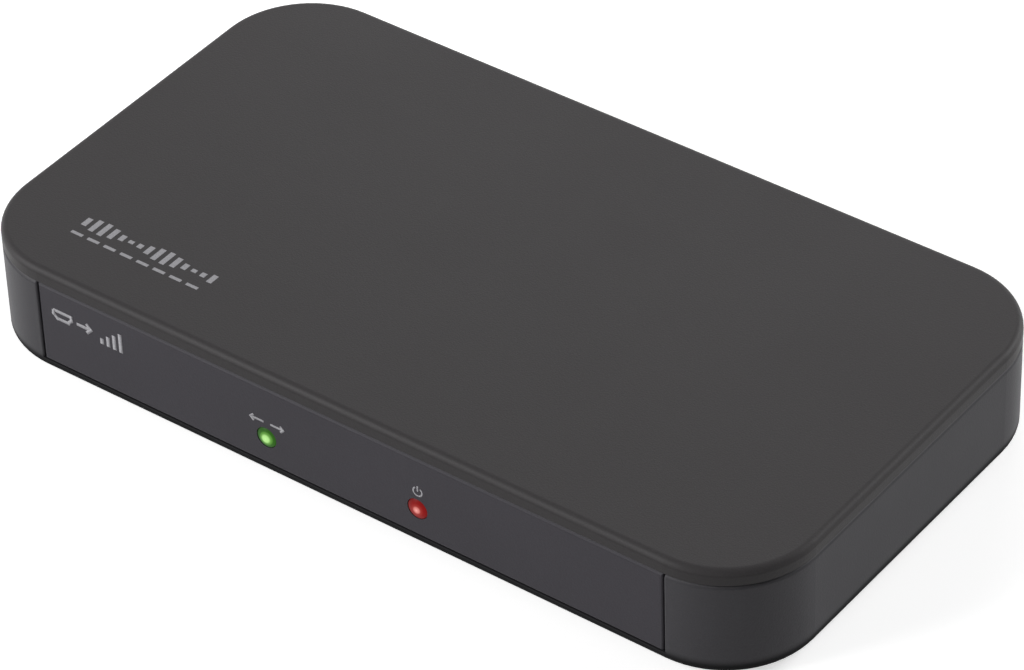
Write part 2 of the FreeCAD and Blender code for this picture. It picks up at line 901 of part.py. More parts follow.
def power_jack_housing():
    x = place["power_jack"]
    half = power_jack_width / 2
    back = socket_front - power_jack_length
    body = block(x - half, x + half, back, socket_front, board_top, board_top + power_jack_height)
    mouth = half_depth + power_nose_proud
    body = join(body, [rod_along_y(power_nose_radius, x, power_z, socket_front, mouth)])
    bore = rod_along_y(power_bore_radius, x, power_z, mouth - power_bore_depth, mouth)
    return body.cut([bore, power_pin_root_rod(power_pin_radius), power_spring(strip_gap)])


def power_pin_root_rod(radius):
    bore_end = half_depth + power_nose_proud - power_bore_depth
    return rod_along_y(radius, place["power_jack"], power_z, bore_end - power_pin_root, bore_end)


def power_jack_pin():
    bore_end = half_depth + power_nose_proud - power_bore_depth
    tip = half_depth + power_nose_proud - power_pin_recess - power_pin_radius
    root = power_pin_root_rod(power_pin_radius)
    shaft = rod_along_y(power_pin_radius, place["power_jack"], power_z, bore_end, tip)
    ball = Part.makeSphere(power_pin_radius, FreeCAD.Vector(place["power_jack"], tip, power_z))
    return join(root, [shaft, ball])


def power_jack_contact():
    return power_spring(0)


# Mode switch
def mode_switch_case():
    """A folded metal frame, open at the back, with the stem's slot in its front."""
    x = place["mode_switch"]
    half = switch_width / 2
    back = socket_front - switch_length
    top = board_top + switch_height
    frame = block(x - half, x + half, back, socket_front, board_top, top)
    hollow_half = half - switch_sheet
    hollow_front = socket_front - switch_sheet
    low = board_top + switch_sheet
    hollow = block(x - hollow_half, x + hollow_half, back, hollow_front, low, top - switch_sheet)
    return frame.cut([hollow, stem_slot(hollow_front, socket_front)])


def mode_switch_base():
    x = place["mode_switch"]
    back = socket_front - switch_length
    inset = switch_sheet + switch_base_gap
    half = switch_width / 2 - inset
    top = board_top + switch_height - inset
    return block(x - half, x + half, back, back + switch_base_thickness, board_top + inset, top)


def mode_switch_terminals():
    """Contact pads on the inner face of the base and solder legs on its outer face."""
    terminals = []
    back = socket_front - switch_length
    inner = back + switch_base_thickness
    for number in range(terminal_count):
        x = place["mode_switch"] + (number - (terminal_count - 1) / 2) * terminal_pitch
        half = terminal_width / 2
        pad_top = switch_z + terminal_reach / 2
        pad_bottom = switch_z - terminal_reach / 2
        terminals.append(block(x - half, x + half, inner, inner + terminal_thickness, pad_bottom, pad_top))
        upright = block(x - half, x + half, back - terminal_thickness, back, board_top, switch_z)
        foot_top = board_top + terminal_thickness
        foot = block(x - half, x + half, back - terminal_reach, back, board_top, foot_top)
        terminals.append(join(upright, [foot]))
    return terminals


def mode_switch_knob():
    """The slider inside the frame and the stem that the finger moves."""
    x = place["mode_switch"]
    slider_front = socket_front - switch_sheet - slider_wall_gap
    slider_back = slider_front - slider_thickness
    low = board_top + switch_sheet + slider_gap
    high = board_top + switch_height - switch_sheet - slider_gap
    half = slider_width / 2
    slider = block(x - half, x + half, slider_back, slider_front, low, high)
    tip = half_depth + stem_proud
    half = stem_width / 2
    stem_low = switch_z - stem_height / 2
    stem = block(x - half, x + half, slider_front, tip, stem_low, stem_low + stem_height)
    stem = stem.makeFillet(stem_edge_round, flat_edges(stem, "Y", tip))
    return join(slider, [stem])


def mode_switch_wiper():
    """A bridge on the back of the slider with two fingers over the contact pads."""
    x = place["mode_switch"]
    bridge_front = socket_front - switch_sheet - slider_wall_gap - slider_thickness
    pads = socket_front - switch_length + switch_base_thickness + terminal_thickness
    half = wiper_width / 2
    reach = terminal_reach / 2
    bridge_back = bridge_front - wiper_thickness
    bridge = block(x - half, x + half, bridge_back, bridge_front, switch_z - reach, switch_z + reach)
    fingers = []
    for side in (-1, 1):
        finger_x = x + side * (half - wiper_finger / 2)
        finger_y = (pads + wiper_gap + bridge_back) / 2
        length = bridge_back - pads - wiper_gap
        low = switch_z - reach
        fingers.append(standing_block(finger_x, finger_y, low, wiper_finger, length, reach))
    return join(bridge, fingers)


# Parts on the board
def gull_leg(lift):
    """One chip leg along X that leaves the body at this height and stands on the board."""
    shoulder = leg_shoulder + leg_thickness
    toe = shoulder + leg_foot
    under = lift - leg_thickness
    outline = [(0, lift), (shoulder, lift), (shoulder, leg_thickness), (toe, leg_thickness)]
    outline += [(toe, 0), (leg_shoulder, 0), (leg_shoulder, under), (0, under)]
    points = [FreeCAD.Vector(u, -leg_width / 2, z) for u, z in outline]
    return prism(points, FreeCAD.Vector(0, leg_width, 0))


def chip(x, y, sizes, thickness, leg_counts, pitch):
    """A flat chip; its sizes and its legs on one side are given along X, then along Y."""
    body = standing_block(0, 0, chip_lift, sizes[0], sizes[1], thickness)
    legs = []
    for turn in (0, 90, 180, 270):
        faces_y = turn in (90, 270)
        size = sizes[faces_y]
        count = leg_counts[faces_y]
        for number in range(count):
            leg = gull_leg(chip_lift + thickness / 2)
            leg.translate(FreeCAD.Vector(size / 2, (number - (count - 1) / 2) * pitch, 0))
            leg.rotate(FreeCAD.Vector(0, 0, 0), FreeCAD.Vector(0, 0, 1), turn)
            legs.append(leg)
    piece = join(body, legs)
    piece.translate(FreeCAD.Vector(x, y, board_top))
    return piece


middle_x = (place["hdmi_in"] + place["hdmi_out"]) / 2
processor_y = hdmi_back - tail_foot - processor_gap - processor_size / 2
front_row_y = board_front + front_row_distance
front_row_places = [front_row_pitch * step for step in front_row_steps]
middle_row_y = (front_row_y + processor_y) / 2 - middle_row_distance
input_row_y = socket_front - power_jack_length - part_gap - inductor_size / 2


def hdmi_processor_chip():
    sizes = (processor_size, processor_size)
    legs = (processor_legs, processor_legs)
    return chip(middle_x, processor_y, sizes, processor_thickness, legs, fine_leg_pitch)


def thermal_pad():
    base = board_top + chip_lift + processor_thickness
    return standing_block(middle_x, processor_y, base, processor_size, processor_size, pad_thickness)


def processor_heatsink():
    size = heatsink_size
    base = board_top + chip_lift + processor_thickness + pad_thickness
    plate = standing_block(middle_x, processor_y, base, size, size, heatsink_base)
    spacing = (size - fin_thickness) / (fin_count - 1)
    fin_base = base + heatsink_base
    fins = []
    for number in range(fin_count):
        x = middle_x - size / 2 + fin_thickness / 2 + number * spacing
        fins.append(standing_block(x, processor_y, fin_base, fin_thickness, size, fin_height))
    return join(plate, fins)


def microcontroller_chip():
    sizes = (controller_size, controller_size)
    legs = (controller_legs, controller_legs)
    return chip(front_row_places[2], front_row_y, sizes, controller_thickness, legs, fine_leg_pitch)


def flash_chip():
    sizes = (memory_width, memory_length)
    legs = (memory_legs, 0)
    return chip(front_row_places[3], front_row_y, sizes, memory_thickness, legs, memory_leg_pitch)


def audio_dac_chip():
    y = input_row_y - inductor_size / 2 - part_gap - dac_length / 2
    sizes = (dac_width, dac_length)
    return chip(place["audio_jack"], y, sizes, dac_thickness, (dac_legs, 0), fine_leg_pitch)


def voltage_regulator():
    sizes = (regulator_length, regulator_width)
    legs = (0, regulator_legs)
    return chip(place["mode_switch"], input_row_y, sizes, regulator_thickness, legs, regulator_leg_pitch)


def surge_protection_chips():
    chips = []
    y = hdmi_back - tail_foot - part_gap
    for name in ("hdmi_in", "hdmi_out"):
        for side in (-1, 1):
            x = place[name] + side * surge_length
            sizes = (surge_length, surge_width)
            chips.append(chip(x, y, sizes, surge_thickness, (0, surge_legs), fine_leg_pitch))
    return chips


def power_inductors():
    """Two inductors, one in front of the other, behind the power socket."""
    coils = []
    x = place["power_jack"] - part_gap
    for row in (0, 1):
        y = input_row_y - row * (inductor_size + part_gap)
        coil = standing_block(x, y, board_top, inductor_size, inductor_size, inductor_height)
        coils.append(coil.makeFillet(inductor_corner, edges_along(coil, "Z")))
    return coils


def electrolytic_capacitors():
    """Upright cans on square bases: two at the power input and one at the audio output."""
    spots = []
    input_y = input_row_y - 1.5 * inductor_size - 2 * part_gap - can_radius
    for side in (-1, 1):
        spots.append((place["power_jack"] - part_gap + side * (can_radius + part_gap / 2), input_y))
    spots.append((place["optical"], input_row_y))
    cans = []
    for x, y in spots:
        base = standing_block(x, y, board_top, 2 * can_radius, 2 * can_radius, can_base)
        base = base.makeFillet(can_base_corner, edges_along(base, "Z"))
        top = board_top + can_base + can_height
        can = post(can_radius, x, y, board_top + can_base, top)
        can = can.makeFillet(can_edge_round, flat_edges(can, "Z", top))
        cans.append(join(base, [can]))
    return cans


def clock_crystals():
    crystals = []
    for x in front_row_places[:2]:
        body = standing_block(x, front_row_y, board_top, crystal_length, crystal_width, crystal_height)
        crystals.append(body.makeFillet(crystal_end_round, edges_along(body, "Z")))
    return crystals


def chip_part(x, y, size_x, size_y, height):
    return standing_block(x, y, board_top, size_x, size_y, height)


def chip_capacitors():
    """Two columns of small parts, one on each side of the processor."""
    parts = []
    column = heatsink_size / 2 + chip_part_edge_gap + chip_part_length / 2
    for side in (-1, 1):
        x = middle_x + side * column
        for number in range(chip_capacitor_column):
            y = processor_y + (number - (chip_capacitor_column - 1) / 2) * chip_part_pitch
            parts.append(chip_part(x, y, chip_part_length, chip_part_width, chip_capacitor_height))
    return parts


def chip_resistors():
    parts = []
    for number in range(chip_resistor_row):
        x = (number - (chip_resistor_row - 1) / 2) * chip_part_pitch
        parts.append(chip_part(x, middle_row_y, chip_part_width, chip_part_length, chip_resistor_height))
    return parts


def in_and_out(piece):
    return {f"hdmi_{way}_{piece.__name__[5:]}": piece(place[f"hdmi_{way}"]) for way in ("in", "out")}


def write_parts():
    pieces = [
        bottom_shell, top_cover, front_panel, rear_panel,
        rubber_feet, case_screws, board_screws, main_board,
        power_led, link_led, led_leads, led_holders,
        optical_housing, optical_shutter, optical_shutter_pin, optical_shutter_spring, optical_emitter,
        audio_jack_housing, audio_jack_bushing, audio_jack_contacts,
        power_jack_housing, power_jack_pin, power_jack_contact,
        mode_switch_case, mode_switch_base, mode_switch_terminals, mode_switch_knob, mode_switch_wiper,
        hdmi_processor_chip, thermal_pad, processor_heatsink,
        microcontroller_chip, flash_chip, audio_dac_chip, voltage_regulator, surge_protection_chips,
        power_inductors, electrolytic_capacitors, clock_crystals, chip_capacitors, chip_resistors,
    ]
    shapes = {piece.__name__: piece() for piece in pieces}
    for piece in (hdmi_shell, hdmi_insulator, hdmi_contacts):
        shapes.update(in_and_out(piece))
    os.makedirs("parts", exist_ok=True)
    for name, shape in shapes.items():
        solids = Part.makeCompound(shape).Solids if isinstance(shape, list) else shape.Solids
        node = solids[0] if len(solids) == 1 else Part.makeCompound(solids)
        node.exportStep(f"parts/{name}.step")


write_parts()
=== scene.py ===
import json
import math

import bmesh
import bpy
from mathutils import Matrix, Vector

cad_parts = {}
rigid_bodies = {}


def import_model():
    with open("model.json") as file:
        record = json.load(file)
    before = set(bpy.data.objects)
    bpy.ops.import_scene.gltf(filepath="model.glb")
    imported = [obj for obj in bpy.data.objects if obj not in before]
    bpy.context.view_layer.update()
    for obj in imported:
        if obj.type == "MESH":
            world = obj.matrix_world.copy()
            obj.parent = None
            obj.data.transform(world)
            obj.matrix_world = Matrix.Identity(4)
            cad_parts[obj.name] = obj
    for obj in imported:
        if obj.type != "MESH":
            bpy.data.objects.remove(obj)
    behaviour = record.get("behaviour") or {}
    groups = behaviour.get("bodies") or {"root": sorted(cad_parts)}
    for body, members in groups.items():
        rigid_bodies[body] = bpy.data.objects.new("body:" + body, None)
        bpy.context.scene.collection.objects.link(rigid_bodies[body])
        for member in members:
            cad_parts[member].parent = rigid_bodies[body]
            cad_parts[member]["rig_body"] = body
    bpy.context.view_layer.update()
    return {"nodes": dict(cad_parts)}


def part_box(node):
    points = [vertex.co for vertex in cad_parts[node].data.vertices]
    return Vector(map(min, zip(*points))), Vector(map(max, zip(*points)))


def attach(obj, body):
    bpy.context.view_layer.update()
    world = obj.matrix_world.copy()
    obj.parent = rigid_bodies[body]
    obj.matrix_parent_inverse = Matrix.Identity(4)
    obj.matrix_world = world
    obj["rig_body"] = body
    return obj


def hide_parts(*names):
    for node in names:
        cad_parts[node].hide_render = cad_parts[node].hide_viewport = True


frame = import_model()
nodes = frame["nodes"]


# Bottom shell
# The floor, the side walls and the four rounded posts: one injection moulding in black ABS. Its mould was
# spark eroded, so the outside is evenly matt, with a fine grain that shows only where light grazes it. The
# rounded under edge is dull and painted nearly black, as painted shade. The rim under the cover is painted
# lighter, as painted light in the shaded seam.

mm = 0.001


def linear(code):
    """Linear colour of an sRGB hex code."""
    parts = [int(code[start:start + 2], 16) / 255 for start in (0, 2, 4)]
    return [part / 12.92 if part <= 0.04045 else ((part + 0.055) / 1.055) ** 2.4 for part in parts] + [1.0]


def add_node(tree, kind, settings=None, links=None):
    """Adds a node with its settings, which are fields or sockets, and links other sockets to its inputs."""
    node = tree.nodes.new(kind)
    for name, value in (settings or {}).items():
        if isinstance(name, str) and hasattr(node, name):
            setattr(node, name, value)
        else:
            node.inputs[name].default_value = value
    for name, source in (links or {}).items():
        tree.links.new(source, node.inputs[name])
    return node


def new_material(name):
    material = bpy.data.materials.new(name)
    material.use_nodes = True
    material.node_tree.nodes.clear()
    return material, material.node_tree


def moulded_abs(name, colour, worn, bands, foot=None):
    """Matt moulded ABS, with heights in mm. A band is two heights, between which the colour turns into the
    next, and that colour. The foot is two heights, between which the roughness turns into the usual, and the
    roughness below them."""
    material, tree = new_material(name)
    place = add_node(tree, "ShaderNodeTexCoord").outputs["Object"]
    # A real spark grain is about 0.08 mm; it is drawn at 0.22 mm, so that a few pixels hold each grain.
    grain_size, pit_size, cloud_size = 0.22, 0.3, 24
    grain = add_node(tree, "ShaderNodeTexNoise",
                     {"Scale": 1 / (grain_size * mm), "Detail": 3.0, "Roughness": 0.6},
                     {"Vector": place}).outputs["Fac"]
    pits = add_node(tree, "ShaderNodeTexVoronoi", {"Scale": 1 / (pit_size * mm)},
                    {"Vector": place}).outputs["Distance"]
    clouds = add_node(tree, "ShaderNodeTexNoise",
                      {"Scale": 1 / (cloud_size * mm), "Detail": 3.0, "Roughness": 0.55},
                      {"Vector": place}).outputs["Fac"]
    tone = add_node(tree, "ShaderNodeMapRange", {1: 0.3, 2: 0.7, 3: 0.0, 4: 1.0}, {0: clouds}).outputs[0]
    base = add_node(tree, "ShaderNodeMix", {"data_type": "RGBA", 6: linear(colour), 7: linear(worn)},
                    {0: tone}).outputs[2]
    gloss = add_node(tree, "ShaderNodeMapRange", {1: 0.3, 2: 0.7, 3: 0.46, 4: 0.5}, {0: clouds}).outputs[0]
    height = add_node(tree, "ShaderNodeSeparateXYZ", links={0: place}).outputs["Z"]
    smooth = {"interpolation_type": "SMOOTHSTEP"}
    for low, high, tint in bands:
        above = add_node(tree, "ShaderNodeMapRange", {**smooth, 1: low * mm, 2: high * mm},
                         {0: height}).outputs[0]
        base = add_node(tree, "ShaderNodeMix", {"data_type": "RGBA", 7: linear(tint)},
                        {0: above, 6: base}).outputs[2]
    if foot:
        low, high, roughness = foot
        above = add_node(tree, "ShaderNodeMapRange", {**smooth, 1: low * mm, 2: high * mm},
                         {0: height}).outputs[0]
        gloss = add_node(tree, "ShaderNodeMix", {2: roughness}, {0: above, 3: gloss}).outputs[0]
    speck = add_node(tree, "ShaderNodeMapRange", {1: 0.25, 2: 0.75, 3: 0.9, 4: 1.1}, {0: grain}).outputs[0]
    base = add_node(tree, "ShaderNodeMix", {"data_type": "RGBA", "blend_type": "MULTIPLY", 0: 1.0},
                    {6: base, 7: speck}).outputs[2]
    relief = add_node(tree, "ShaderNodeMath", {"operation": "MULTIPLY_ADD", 1: 0.5},
                      {0: pits, 2: grain}).outputs[0]
    bump = add_node(tree, "ShaderNodeBump", {"Strength": 0.6, "Distance": 0.03 * mm}, {"Height": relief})
    surface = add_node(tree, "ShaderNodeBsdfPrincipled", {"IOR": 1.53, "Specular IOR Level": 0.125},
                       {"Base Color": base, "Roughness": gloss, "Normal": bump.outputs[0]})
    add_node(tree, "ShaderNodeOutputMaterial", links={"Surface": surface.outputs[0]})
    return material


def dress(material, *names):
    """Gives CAD nodes their material."""
    for name in names:
        nodes[name].material_slots[0].material = material


# Heights in mm and colours. The under edge band paints the rounded under edge nearly black, as painted shade,
# and the rim band paints the rim under the cover lighter, as painted light in the shaded seam.
painted_shade_under_edge, wall, painted_light_rim = (0.8, 1.05, "121213"), (2.1, 3.6, "3b3a3d"), (14.88, 15.05, "58575a")
shell_abs = moulded_abs("Moulded ABS shell", "333235", "37363a", [painted_shade_under_edge, wall, painted_light_rim],
                        foot=(2.1, 3.1, 1.0))
dress(shell_abs, "bottom_shell")


# Rubber feet
# Four round feet of soft black elastomer, pressed into shallow pockets of the floor. The sole is dished a
# little, and the skin is duller than the case, with a dusty bloom.

def grained(name, dark, light, grain, roughness, metallic=0.0, depth=0.0, stretch=(1.0, 1.0, 1.0)):
    """A material whose tone, gloss and relief follow one noise. The grain and its depth are in mm, and the
    roughness is its lowest and highest."""
    material, tree = new_material(name)
    place = add_node(tree, "ShaderNodeTexCoord").outputs["Object"]
    stretched = add_node(tree, "ShaderNodeMapping", {"Scale": stretch}, {0: place}).outputs[0]
    noise = add_node(tree, "ShaderNodeTexNoise",
                     {"Scale": 1 / (grain * mm), "Detail": 4.0, "Roughness": 0.6},
                     {"Vector": stretched}).outputs["Fac"]
    tone = add_node(tree, "ShaderNodeMapRange", {1: 0.3, 2: 0.7}, {0: noise}).outputs[0]
    base = add_node(tree, "ShaderNodeMix", {"data_type": "RGBA", 6: linear(dark), 7: linear(light)},
                    {0: tone}).outputs[2]
    gloss = add_node(tree, "ShaderNodeMapRange", {1: 0.3, 2: 0.7, 3: roughness[0], 4: roughness[1]},
                     {0: noise}).outputs[0]
    surface = add_node(tree, "ShaderNodeBsdfPrincipled", {"Metallic": metallic},
                       {"Base Color": base, "Roughness": gloss})
    if depth:
        bump = add_node(tree, "ShaderNodeBump", {"Strength": 0.5, "Distance": depth * mm}, {"Height": noise})
        tree.links.new(bump.outputs[0], surface.inputs["Normal"])
    add_node(tree, "ShaderNodeOutputMaterial", links={"Surface": surface.outputs[0]})
    return material


def new_object(name, data):
    thing = bpy.data.objects.new(name, data)
    bpy.context.scene.collection.objects.link(thing)
    return thing


def piece_from(work, name):
    """Makes an object of a bmesh, smooth but for the edges where faces meet at more than the crease angle,
    in degrees."""
    crease = 35
    mesh = bpy.data.meshes.new(name)
    bmesh.ops.recalc_face_normals(work, faces=work.faces)
    work.to_mesh(mesh)
    work.free()
    mesh.polygons.foreach_set("use_smooth", [True] * len(mesh.polygons))
    mesh.set_sharp_from_angle(angle=math.radians(crease))
    return new_object(name, mesh)


def turned(name, points, steps=48):
    """A closed piece turned about the Z axis. The points are a radius and a height in mm, and the first and
    the last lie on the axis."""
    work = bmesh.new()
    rings = []
    for radius, height in points:
        count = steps if radius > 0 else 1
        turns = [2 * math.pi * step / count for step in range(count)]
        rings.append([
            work.verts.new((radius * mm * math.cos(turn), radius * mm * math.sin(turn), height * mm))
            for turn in turns])
    for low, high in zip(rings, rings[1:]):
        for step in range(steps):
            after = step + 1
            corners = [low[step % len(low)], low[after % len(low)],
                       high[after % len(high)], high[step % len(high)]]
            work.faces.new(list(dict.fromkeys(corners)))
    return piece_from(work, name)


def new_shape_tree(name, inputs):
    """A geometry tree with these named inputs. Gives the tree and its input sockets."""
    tree = bpy.data.node_groups.new(name, "GeometryNodeTree")
    tree.interface.new_socket("Geometry", in_out="OUTPUT", socket_type="NodeSocketGeometry")
    for label, kind in inputs.items():
        tree.interface.new_socket(label, in_out="INPUT", socket_type="NodeSocket" + kind)
    return tree, tree.nodes.new("NodeGroupInput").outputs


def made_real(tree, copies, material):
    """Makes the copies real, because the export drops instances, and gives them their material."""
    solid = add_node(tree, "GeometryNodeRealizeInstances", links={0: copies}).outputs[0]
    return add_node(tree, "GeometryNodeSetMaterial", links={0: solid, "Material": material}).outputs[0]


def keep_shape(piece):
    """Keeps what the modifiers make as the piece's plain mesh."""
    seen = piece.evaluated_get(bpy.context.evaluated_depsgraph_get())
    mesh = bpy.data.meshes.new_from_object(seen)
    piece.modifiers.clear()
    piece.data = mesh
    return piece


def shaped(piece, tree, values):
    """Runs a geometry tree on a piece and keeps the result."""
    maker = piece.modifiers.new("shape", "NODES")
    maker.node_group = tree
    for item in tree.interface.items_tree:
        if item.in_out == "INPUT" and item.name in values:
            maker[item.identifier] = values[item.name]
    return keep_shape(piece)


def settle(piece, body, slot, *names):
    """The piece rides on a body and stands for CAD nodes, which it hides. The slot is not used."""
    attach(piece, body)
    if names:
        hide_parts(*names)


corner_tree, sizes = new_shape_tree("One at each corner", {
    "Geometry": "Geometry", "Across": "Float", "Along": "Float", "Material": "Material"})
spots = add_node(corner_tree, "GeometryNodeMeshGrid", {"Vertices X": 2, "Vertices Y": 2},
                 {"Size X": sizes["Across"], "Size Y": sizes["Along"]})
copies = add_node(corner_tree, "GeometryNodeInstanceOnPoints",
                  links={"Points": spots.outputs["Mesh"], "Instance": sizes["Geometry"]}).outputs[0]
add_node(corner_tree, "NodeGroupOutput", links={0: made_real(corner_tree, copies, sizes["Material"])})

rubber = grained("Moulded elastomer", "161617", "1f1f20", 0.4, (0.72, 0.85), depth=0.02)
foot_radius, foot_height, dish = 4.0, 1.4, 0.22
feet_across, feet_along = 83, 49
foot_profile = [(0, dish), (2.3, dish), (2.6, 0.16), (2.75, 0.05), (2.9, 0.0), (3.6, 0.0), (3.82, 0.07),
                (3.95, 0.2), (foot_radius, 0.4), (foot_radius, foot_height), (0, foot_height)]
feet = shaped(turned("feet", foot_profile), corner_tree, {
    "Across": feet_across * mm, "Along": feet_along * mm, "Material": rubber})
settle(feet, "case", "foot_rubber", "rubber_feet")


# Case screws and board screws
# Cross-recess screws of zinc-plated steel. Four long ones go up through the floor into the cover, and four
# short ones hold the board. The plating is bright, a little blue, and scuffed round the recess.

def screw(name, head_radius, head_height, shank_radius, length, pitch):
    """A pan-head screw on the Z axis: its head's face at height zero, its shank below. Sizes are in mm."""
    recess_reach, recess_width, recess_taper = 0.55 * head_radius, 0.26 * head_radius, 0.55
    neck, thread_root, tip_radius = 0.3, 0.78 * shank_radius, 0.5 * shank_radius
    points = [(0, 0), (recess_reach, 0), (head_radius * 0.8, -0.12 * head_height),
              (head_radius * 0.94, -0.32 * head_height), (head_radius, -0.6 * head_height),
              (head_radius, -head_height), (shank_radius, -head_height)]
    level = -head_height - neck
    while level > -head_height - length + 1.2 * pitch:
        points += [(shank_radius, level), (thread_root, level - pitch / 2)]
        level -= pitch
    points += [(tip_radius, -head_height - length), (0, -head_height - length)]
    piece = turned(name, points, steps=40)
    work = bmesh.new()
    arm_size = (2 * recess_reach * mm, recess_width * mm, 1.2 * head_height * mm)
    for turn in (0, 90):
        arm = bmesh.ops.create_cube(work, size=1.0)["verts"]
        bmesh.ops.scale(work, vec=arm_size, verts=arm)
        bmesh.ops.rotate(work, cent=(0, 0, 0), matrix=Matrix.Rotation(math.radians(turn), 3, "Z"), verts=arm)
    for vertex in work.verts:
        if vertex.co.z < 0:
            vertex.co.x *= recess_taper
            vertex.co.y *= recess_taper
    cutter = piece_from(work, name + "_cutter")
    cut = piece.modifiers.new("recess", "BOOLEAN")
    cut.operation = "DIFFERENCE"
    cut.solver = "EXACT"
    cut.use_self = True
    cut.object = cutter
    keep_shape(piece)
    bpy.data.objects.remove(cutter)
    return piece


zinc = grained("Zinc-plated steel", "9aa0a6", "b9bdc1", 0.5, (0.26, 0.42), metallic=1.0, depth=0.006)
case_screws = screw("long_screws", head_radius=2.3, head_height=1.7, shank_radius=1.25, length=9.0, pitch=0.9)
case_screws.data.transform(Matrix.Rotation(math.pi, 4, "X"))
screws_across, screws_along = 103, 47
shaped(case_screws, corner_tree, {
    "Across": screws_across * mm, "Along": screws_along * mm, "Material": zinc})
case_screws.data.transform(Matrix.Translation((0, 0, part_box("case_screws")[0].z)))
settle(case_screws, "case", "zinc_screw_steel", "case_screws")
low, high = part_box("board_screws")
head = 2.0
board_screws = screw("short_screws", head_radius=head, head_height=1.2, shank_radius=0.98, length=3.4,
                     pitch=0.7)
shaped(board_screws, corner_tree, {
    "Across": high.x - low.x - 2 * head * mm, "Along": high.y - low.y - 2 * head * mm, "Material": zinc})
board_screws.data.transform(Matrix.Translation((0, (low.y + high.y) / 2, high.z)))
settle(board_screws, "case", "zinc_screw_steel", "board_screws")


# Circuit board
# Glass-epoxy laminate, 1.2 mm, under green solder mask. Bundles of copper tracks, areas of solid copper and
# small vias show through the mask as slightly lighter green, and the cut edge is bare yellowish laminate.

board, tree = new_material("Solder mask on glass epoxy")
place = add_node(tree, "ShaderNodeTexCoord").outputs["Object"]
along = add_node(tree, "ShaderNodeSeparateXYZ", links={0: place}).outputs
# Under the glossy mask each block of the board holds solid copper, or a bundle of tracks that runs one way. A
# real track is 0.15 mm wide; it is drawn at 0.3 mm, so that it shows. A via is about 0.35 mm in radius.
block_width, solid_share, track_pitch, track_share = 6, 0.35, 0.8, 0.38
via_pitch, via_inner, via_outer = 3.4, 0.09, 0.11
blocks = add_node(tree, "ShaderNodeTexVoronoi", {"distance": "CHEBYCHEV", "Scale": 1 / (block_width * mm)},
                  {"Vector": place}).outputs["Color"]
pick = add_node(tree, "ShaderNodeSeparateColor", links={0: blocks}).outputs
lines = []
for axis in ("X", "Y"):
    count = add_node(tree, "ShaderNodeMath", {"operation": "MULTIPLY", 1: 1 / (track_pitch * mm)},
                     {0: along[axis]}).outputs[0]
    share = add_node(tree, "ShaderNodeMath", {"operation": "FRACT"}, {0: count}).outputs[0]
    lines.append(add_node(tree, "ShaderNodeMath", {"operation": "LESS_THAN", 1: track_share},
                          {0: share}).outputs[0])
crossways = add_node(tree, "ShaderNodeMath", {"operation": "GREATER_THAN", 1: 0.5},
                     {0: pick["Red"]}).outputs[0]
track = add_node(tree, "ShaderNodeMix", links={0: crossways, 2: lines[0], 3: lines[1]}).outputs[0]
solid_copper = add_node(tree, "ShaderNodeMath", {"operation": "GREATER_THAN", 1: 1 - solid_share},
                        {0: pick["Green"]}).outputs[0]
track = add_node(tree, "ShaderNodeMath", {"operation": "MAXIMUM"}, {0: track, 1: solid_copper}).outputs[0]
dots = add_node(tree, "ShaderNodeTexVoronoi", {"Scale": 1 / (via_pitch * mm), "Randomness": 0.6},
                {"Vector": place}).outputs["Distance"]
via = add_node(tree, "ShaderNodeMapRange", {1: via_inner, 2: via_outer, 3: 1.0, 4: 0.0},
               {0: dots}).outputs[0]
mask = add_node(tree, "ShaderNodeMix", {"data_type": "RGBA", 6: linear("0f3d24"), 7: linear("175030")},
                {0: track}).outputs[2]
mask = add_node(tree, "ShaderNodeMix", {"data_type": "RGBA", 7: linear("b8a15c")},
                {0: via, 6: mask}).outputs[2]
upright = add_node(tree, "ShaderNodeSeparateXYZ",
                   links={0: add_node(tree, "ShaderNodeNewGeometry").outputs["Normal"]}).outputs["Z"]
flat = add_node(tree, "ShaderNodeMath", {"operation": "ABSOLUTE"}, {0: upright}).outputs[0]
face = add_node(tree, "ShaderNodeMath", {"operation": "GREATER_THAN", 1: 0.5}, {0: flat}).outputs[0]
mask = add_node(tree, "ShaderNodeMix", {"data_type": "RGBA", 6: linear("8d8656")},
                {0: face, 7: mask}).outputs[2]
relief = add_node(tree, "ShaderNodeBump", {"Strength": 0.6, "Distance": 0.03 * mm}, {"Height": track})
surface = add_node(tree, "ShaderNodeBsdfPrincipled", {"Roughness": 0.32, "IOR": 1.5},
                   {"Base Color": mask, "Normal": relief.outputs[0]})
add_node(tree, "ShaderNodeOutputMaterial", links={"Surface": surface.outputs[0]})
dress(board, "main_board")


# Chips
# Bodies of moulded epoxy over stamped legs of tinned copper, soldered to the board. Each legged chip is one
# copy of the solid, with the faces outside its body tinned.

# The epoxy is black with a fine matt grain, and the tin pale, soft and slightly cloudy.
epoxy = grained("Moulding epoxy", "151516", "1e1e1f", 0.15, (0.5, 0.62), depth=0.008)
tin = grained("Tin-plated copper", "a8a8a4", "c6c5c0", 0.3, (0.28, 0.45), metallic=1.0, depth=0.004)


def merged_copy(node):
    work = bmesh.new()
    work.from_mesh(nodes[node].data)
    bmesh.ops.remove_doubles(work, verts=work.verts, dist=0.001 * mm)
    return work


def two_finishes(name, node, slot, first, second, is_second):
    """A merged copy of a node, with the second material on the faces whose centre, in mm, passes the test."""
    work = merged_copy(node)
    for face in work.faces:
        face.material_index = int(is_second(face.calc_center_median() / mm))
    piece = piece_from(work, name)
    piece.data.materials.append(first)
    piece.data.materials.append(second)
    settle(piece, nodes[node]["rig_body"], slot, node)


def legs_of(centres, half_x, half_y):
    """A test whether a point lies outside the bodies that have these centres and half sizes, in mm."""
    margin = 0.01
    return lambda point: all(abs(point.x - x) > half_x + margin or abs(point.y - y) > half_y + margin
                             for x, y in centres)


def middle(node):
    """Where a node's middle is on the board, in mm."""
    low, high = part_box(node)
    return (low.x + high.x) / 2 / mm, (low.y + high.y) / 2 / mm


